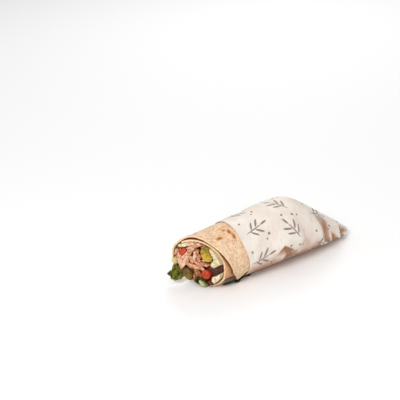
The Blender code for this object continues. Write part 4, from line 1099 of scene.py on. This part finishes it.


# ------------------------------------------------------------------ paper sleeve

# Corners of the flat facets between the sleeve's creases: s in mm, phi, height in mm, and a tan tint 0
# to 1 that is grease stain with painted shade in the hollows and a painted warm reflection on the low
# side.
CORNERS = {
    "mouth_a": (38, -44, 0.0, 0.5), "mouth_b": (38, -14, 0.1, 0.0), "mouth_c": (36, 20, 0.0, 0.0),
    "mouth_d": (35, 55, 0.1, 0.0), "mouth_e": (35, 90, 0.0, 0.0), "mouth_f": (35, 126, 0.1, 0.0),
    "low_a": (43, -26, 0.7, 0.35), "low_b": (52.6, -21.7, 0.9, 0.35), "low_c": (62.9, -16, 1.3, 0.3),
    "peak": (72.5, 1, 2.3, 0.05), "right_foot": (89.5, -24, 1.6, 0.3),
    "low_d": (104, -24.5, 0.9, 0.45), "low_e": (117, -22, 1.4, 0.45),
    "left_under": (65.0, -18.5, 0.2, 0.3), "peak_under": (73, -2, -0.3, 1.0),
    "ridge_foot": (74.2, -25, 1.5, 0.2), "valley": (79.5, -21, -0.3, 1.0),
    "right_under": (87, -28, 0.1, 0.6),
    "base_a": (50, -43, 0.2, 0.75), "base_b": (62, -43, 0.3, 0.8), "base_c": (76, -42, 0.3, 0.85),
    "base_d": (90, -43, 0.2, 0.75), "base_e": (104, -42, 0.5, 0.7), "base_f": (118, -42, 0.2, 0.75),
    "base_g": (131, -43, 0.4, 0.75), "base_h": (147, -45, 0.2, 0.7), "base_i": (161, -45, 0.1, 0.4),
    "front_a": (50, 4, 0.2, 0.0), "front_b": (48, 40, 0.5, 0.0), "front_c": (60, 24, 0.1, 0.0),
    "front_d": (68, 50, 0.6, 0.0), "front_e": (60, 78, 0.1, 0.0), "front_f": (78, 22, 0.3, 0.0),
    "front_g": (76, 74, 0.7, 0.0), "front_h": (50, 108, 0.4, 0.0), "front_i": (72, 104, 0.1, 0.0),
    "bend_a": (82, 52, 1.2, 0.0), "bend_b": (88, 26, 2.0, 0.0), "bend_c": (91.5, 2, 2.0, 0.0),
    "hollow_a": (90, 56, 0.2, 0.2), "hollow_b": (94, 24, -0.3, 0.3), "hollow_c": (97.5, -4, -0.3, 0.35),
    "ridge_a": (98, 76, 1.1, 0.0), "ridge_b": (104, 48, 0.5, 0.0), "ridge_c": (106, 18, 1.0, 0.0),
    "ridge_d": (108, -6, 0.9, 0.05),
    "pleat_a": (111, 44, 1.4, 0.0), "pleat_b": (114.9, 21, 2.6, 0.0), "pleat_c": (115.6, 1, 3.0, 0.0),
    "pleat_d": (121, -30, 2.0, 0.1),
    "pit_a": (122, 18, 0.2, 1.0), "pit_b": (124.5, -3, -1.1, 1.0), "pit_c": (127.5, -18, -0.8, 1.0),
    "fan_a": (127.6, 17, 2.2, 0.2), "fan_b": (130, -8, 2.6, 0.0), "fan_c": (132, -28, 1.6, 0.3),
    "notch": (133.5, -4, 0.2, 0.9), "notch_low": (138.5, -24, 0.2, 1.0),
    "flap_a": (144, -2, 2.6, 0.0), "flap_b": (146.6, -22, 2.3, 0.0), "flap_c": (143, 36, 2.2, 0.0),
    "flap_d": (137.5, 4, 1.3, 0.05),
    "slit_a": (145.4, 22, -0.4, 0.7), "slit_b": (146.2, -4, -1.6, 1.0),
    "slit_c": (149.0, -22, -0.6, 1.0),
    "end_a": (150, 62, 1.6, 0.0), "end_b": (153.5, 22, -0.2, 0.7), "end_c": (155.5, -16, 1.4, 0.0),
    "end_d": (160.5, 54, 1.4, 0.0), "end_e": (160, 4, 0.3, 0.4), "end_f": (161.5, -25, 0.6, 0.1),
    "top_a": (122, 62, 1.3, 0.0), "top_b": (132, 46, 0.1, 0.15), "top_c": (131, 80, 0.4, 0.0),
    "top_d": (141, 88, 1.1, 0.0), "top_e": (152, 96, 0.2, 0.0), "top_f": (112, 90, 0.3, 0.0),
    "top_g": (88, 92, 0.2, 0.0), "top_h": (120, 112, 1.0, 0.0), "top_i": (161, 100, 0.3, 0.0),
    "back_a": (60, 128, 0.5, 0.0), "back_b": (82, 126, 0.9, 0.0), "back_c": (103, 128, 0.2, 0.0),
    "back_d": (132, 126, 0.2, 0.0), "back_e": (147, 128, 0.9, 0.0), "back_f": (161, 126, 0.2, 0.0),
}
# Creases that must run straight from corner to corner.
CREASES = (
    "low_a low_b low_c peak right_foot low_d low_e", "left_under peak_under valley right_under",
    "peak_under ridge_foot", "bend_a bend_b bend_c right_foot", "hollow_a hollow_b hollow_c",
    "ridge_a ridge_b ridge_c ridge_d", "pleat_a pleat_b pleat_c pleat_d", "pit_a pit_b pit_c",
    "fan_a fan_b fan_c", "fan_a flap_d flap_b", "flap_c flap_a flap_b", "notch notch_low",
    "slit_a slit_b slit_c", "end_a end_b end_c", "top_a top_b flap_c", "top_c top_d end_a",
)
LOWEST_CORNER = -42.0        # the lowest angle that has corners all along
TAIL_SLANT = 7.5 * MM        # the tail ends this much earlier at its underside than on top
PAPER_PHI = -49.5            # the angle at which the grid of the sheet starts
PAPER_COLUMNS = 240
PAPER_ROWS = 280
SHEET_MM_PER_DEGREE = 0.44
FRONT_TO = (112.0, 126.0)    # the placed facets give way to random ones here, past the top
RAISED_PHI = (-54.0, -40.0, 230.0, 246.0)   # no creases on the strip that the wrap rests on
STAIN_AND_SHADE_ENDS = (-98.0, -74.0)  # round the underside the grease stain and painted shade fade out between these angles
INNER_SHARES = (1.0, 0.7, 0.4, 0.2, 0.1, 0.05, 0.02, 0.006, 0.0)   # rings of its inner side
# The rings of the gathered end: mm back from the tip, and the share of its size.
TAIL_RINGS = ((0.3, 0.9), (0.5, 0.74), (0.8, 0.55), (1.2, 0.36), (1.5, 0.18))


def paper_mouth(phi):
    around = np.where(phi < 130, phi, 260 - phi)
    return 34.4 * MM + 5.2 * MM * (1.0 - smoothstep(-32.0, 42.0, around))


def over_triangles(spots, creases, x, y):
    """Straight interpolation, between spots of (x, y, value, ...), at the places x and y."""
    flat = [Vector(spot[:2]) for spot in spots]
    corners, _, triangles, origins, _, _ = geometry.delaunay_2d_cdt(flat, creases, [], 0, 1e-9)
    values = [spots[origin[0]][2:] if origin else (0.0,) * (len(spots[0]) - 2) for origin in origins]
    result = np.zeros((len(x), len(spots[0]) - 2))
    for triangle in triangles:
        (ax, ay), (bx, by), (cx, cy) = (corners[k] for k in triangle)
        near = np.flatnonzero((x >= min(ax, bx, cx)) & (x <= max(ax, bx, cx))
                              & (y >= min(ay, by, cy)) & (y <= max(ay, by, cy)))
        area = (bx - ax) * (cy - ay) - (cx - ax) * (by - ay)
        if not len(near) or abs(area) < 1e-12:
            continue
        px, py = x[near] - ax, y[near] - ay
        wb = (px * (cy - ay) - (cx - ax) * py) / area
        wc = ((bx - ax) * py - px * (by - ay)) / area
        weights = np.stack((1.0 - wb - wc, wb, wc), axis=-1)
        held = weights.min(axis=-1) >= -1e-9
        result[near[held]] = weights[held] @ np.array([values[k] for k in triangle])
    return result


def placed_facets(s, phi):
    """Height in metres, and the tan tint of grease stain and painted shade, of the placed facets."""
    names = list(CORNERS)
    spots = [(a, b * SHEET_MM_PER_DEGREE, height, stain_shade) for a, b, height, stain_shade in CORNERS.values()]
    edges = []
    for crease in CREASES:
        along = [names.index(name) for name in crease.split()]
        edges += list(zip(along, along[1:]))
    found = over_triangles(spots, edges, s.ravel() / MM, phi.ravel() * SHEET_MM_PER_DEGREE)
    return found[:, 0].reshape(s.shape) * MM, found[:, 1].reshape(s.shape)


def crumple(u, v, size, width, seed):
    """Flat facets between sharp creases over random spots.

    u and v are places on the sheet, v repeats with the given width, and the result is -1 to 1.
    """
    rng = random.Random(seed)
    spots = []
    columns = int((u.max() - u.min()) / size) + 3
    lanes = max(3, round(width / size))
    for i in range(-1, columns):
        for j in range(lanes):
            spots.append((u.min() + (i + rng.uniform(0.05, 0.95)) * size,
                          (j + rng.uniform(0.05, 0.95)) * width / lanes, rng.uniform(-1, 1)))
    tiled = [(a, b + k * width, h) for k in (-1, 0, 1) for a, b, h in spots]
    tiled = [spot for spot in tiled if -1.5 * size < spot[1] < width + 1.5 * size]
    return over_triangles(tiled, [], u.ravel(), (v % width).ravel())[:, 0].reshape(u.shape)


def sleeve_folds(s, phi, from_mouth):
    """How far the creases and facets lift the sleeve, in metres, and how strong its tint of grease
    stain, painted shade and painted warm reflection is.
    """
    arc = np.broadcast_to((phi - PAPER_PHI) * SHEET_MM_PER_DEGREE * MM, s.shape)
    width = 360.0 * SHEET_MM_PER_DEGREE * MM
    raised = hump(*RAISED_PHI, phi)
    free = smoothstep(0.0, 9 * MM, from_mouth)
    tail = smoothstep(104 * MM, 140 * MM, s)
    taper = profile_at(s)[0] / (26 * MM)
    # The tint along the low side, grease stain with painted shade and a painted warm reflection, goes
    # on round the underside, where there are no corners.
    low = np.where(phi > 250.0, phi - 360.0, phi)
    placed, stain_and_shade = placed_facets(s, np.broadcast_to(np.maximum(low, LOWEST_CORNER), s.shape))
    stain_and_shade = stain_and_shade * mix(1.0, smoothstep(*STAIN_AND_SHADE_ENDS, low), low < 0.0)
    gathered = crumple(0.3 * s, arc, 10 * MM, width, 6)
    facets = crumple(s, arc, 12 * MM, width, 4)
    behind = (0.5 + (0.95 + 0.45 * tail) * facets + 1.8 * tail * gathered) * MM
    small = (0.30 + 0.15 * tail) * MM * crumple(s, arc, 6 * MM, width, 9)
    rise = mix(behind, placed, 1.0 - smoothstep(*FRONT_TO, phi))
    rise = rise * smoothstep(0.0, 10 * MM, from_mouth)
    rise = (rise + small * np.clip(taper * 1.6, 0.3, 1.0)) * raised * free
    rise = np.maximum(rise, -0.30 * MM - 2.2 * MM * smoothstep(CAVITY_END, CAVITY_END + 8 * MM, s))
    return rise + 0.10 * MM * np.sin(np.radians(phi * 5)) * (1.0 - free) * raised, stain_and_shade


def build_paper():
    """The sleeve as one body: its inner side, its creased outer side and its gathered end."""
    phi = (PAPER_PHI + 360.0 * np.arange(PAPER_COLUMNS) / PAPER_COLUMNS)[None, :]
    mouth = paper_mouth(phi)
    tip = TAIL_TIP - TAIL_SLANT * (0.5 - 0.5 * np.sin(np.radians(phi)))
    s = mix(mouth, tip, (np.linspace(0.0, 1.0, PAPER_ROWS) ** 0.95)[:, None])
    lift, stain_and_shade = sleeve_folds(s, phi, s - mouth)
    outer = roll_point(s, phi, -lift)

    inner_s = mix(mouth, CAVITY_END, np.array(INNER_SHARES)[:, None])
    wall = mix(0.14 * MM, PAPER, smoothstep(0.0, 4 * MM, inner_s - mouth))
    inner = roll_point(inner_s, phi, wall, wall)

    # The end is gathered into pleats that run in to a shallow middle.
    half_width = profile_at(tip)[0]
    pleats = 2.0 * np.abs((phi / 40.0 + 0.13 * np.sin(np.radians(2 * phi))) % 1.0 - 0.5)
    tail_rings = []
    for back, share in TAIL_RINGS:
        back_mm = back + 1.5 * pleats * share * (1.0 - share) * 2.6
        tail_rings.append(roll_point(tip - back_mm * MM, phi, half_width * (1.0 - share), 0.3 * MM))
    tail_middle = TAIL_TIP - 0.5 * TAIL_SLANT - 1.8 * MM
    hubs = [roll_point(at, 90.0, profile_at(at)[1]) for at in (CAVITY_END, tail_middle)]
    points, faces = tube(np.concatenate([inner, outer] + tail_rings), *hubs)

    # Grease stain with painted shade and painted warm reflection, for each point of the sleeve.
    grease_and_shade = np.concatenate((np.zeros(inner_s.size), stain_and_shade.ravel(),
                             np.tile(stain_and_shade[-1], len(TAIL_RINGS)), (0.0, 0.0)))
    item = add_piece("paper_wrap", points, faces, "paper", "paper", {"grease_and_shade": grease_and_shade})
    add_sheet_corners(item, np.concatenate((inner_s, s) + (tip,) * len(TAIL_RINGS)))
    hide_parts("paper_sleeve")


def add_sheet_corners(item, s_all):
    """Where each face corner lies on the flat sheet, in mm, so that the seam stays clean."""
    mesh = item.data
    corners = np.zeros(len(mesh.loops), int)
    mesh.loops.foreach_get("vertex_index", corners)
    column = corners % PAPER_COLUMNS
    ring = np.minimum(corners // PAPER_COLUMNS, len(s_all) - 1)
    loop_face = np.repeat(np.arange(len(mesh.polygons)), [len(p.vertices) for p in mesh.polygons])
    wraps = np.zeros(len(mesh.polygons), bool)
    np.logical_or.at(wraps, loop_face, column == PAPER_COLUMNS - 1)
    u = s_all[ring, column] / MM
    column = np.where(wraps[loop_face] & (column == 0), PAPER_COLUMNS, column)
    v = (column * 360.0 / PAPER_COLUMNS - PRINT_MIDDLE) * profile_at(u * MM)[0] / MM * math.pi / 180
    set_attribute(mesh, "sheet", stacked(u, v, 0.0), "CORNER")


# ------------------------------------------------------------------ studio

CAMERA_AT = Vector((-0.498615 - ORIGIN_S, -0.736665 - ORIGIN_Y, 0.466855))
# Which way the camera's right, up and back point.
CAMERA_AXES = ((0.80856, -0.58593, -0.05402), (0.27499, 0.29511, 0.91504), (-0.5202, -0.75472, 0.39974))
CAMERA_LENS = 109.79
# Lamps: place and size in metres, power in watts.
LAMPS = {
    "key": ((-0.75, -0.35, 0.75), 0.45, 5.7),
    "fill": ((-0.3, -1.1, 0.6), 0.9, 1.6),
    "rim": ((0.6, 0.7, 0.7), 0.6, 2.6),
}
LAMPS_AIM = Vector((0.0, 0.0, 0.02))


def build_camera():
    camera = linked("camera", bpy.data.cameras.new("camera"))
    camera.data.lens = CAMERA_LENS
    camera.data.sensor_width = 36.0
    matrix = Matrix(CAMERA_AXES).transposed().to_4x4()
    matrix.translation = CAMERA_AT
    camera.matrix_world = matrix
    bpy.context.scene.camera = camera


def build_studio():
    world = bpy.data.worlds.new("studio")
    bpy.context.scene.world = world
    world.use_nodes = True
    background = world.node_tree.nodes["Background"]
    background.inputs["Color"].default_value = (1.0, 1.0, 1.0, 1.0)
    background.inputs["Strength"].default_value = 0.6
    for name, (at, size, energy) in LAMPS.items():
        lamp = linked(name, bpy.data.lights.new(name, "AREA"))
        lamp.data.shape = "DISK"
        lamp.data.size = size
        lamp.data.energy = energy
        lamp.location = at
        lamp.rotation_euler = (LAMPS_AIM - Vector(at)).to_track_quat("-Z", "Y").to_euler()
    bpy.ops.mesh.primitive_plane_add(size=8.0, location=(0.0, 0.0, -0.0002))
    floor = bpy.context.active_object
    floor.name = "floor"
    floor.data.materials.append(Finish("pale_floor", (253, 253, 253)).wear(0.8))
    bpy.context.scene.view_settings.view_transform = "Standard"


build_camera()
build_studio()
build_tortilla()
for strip_name, strip_values in STRIPS.items():
    build_strip(strip_name, *strip_values)
build_tuna()
build_lining()
build_arch()
build_under_leaf()
build_paper()
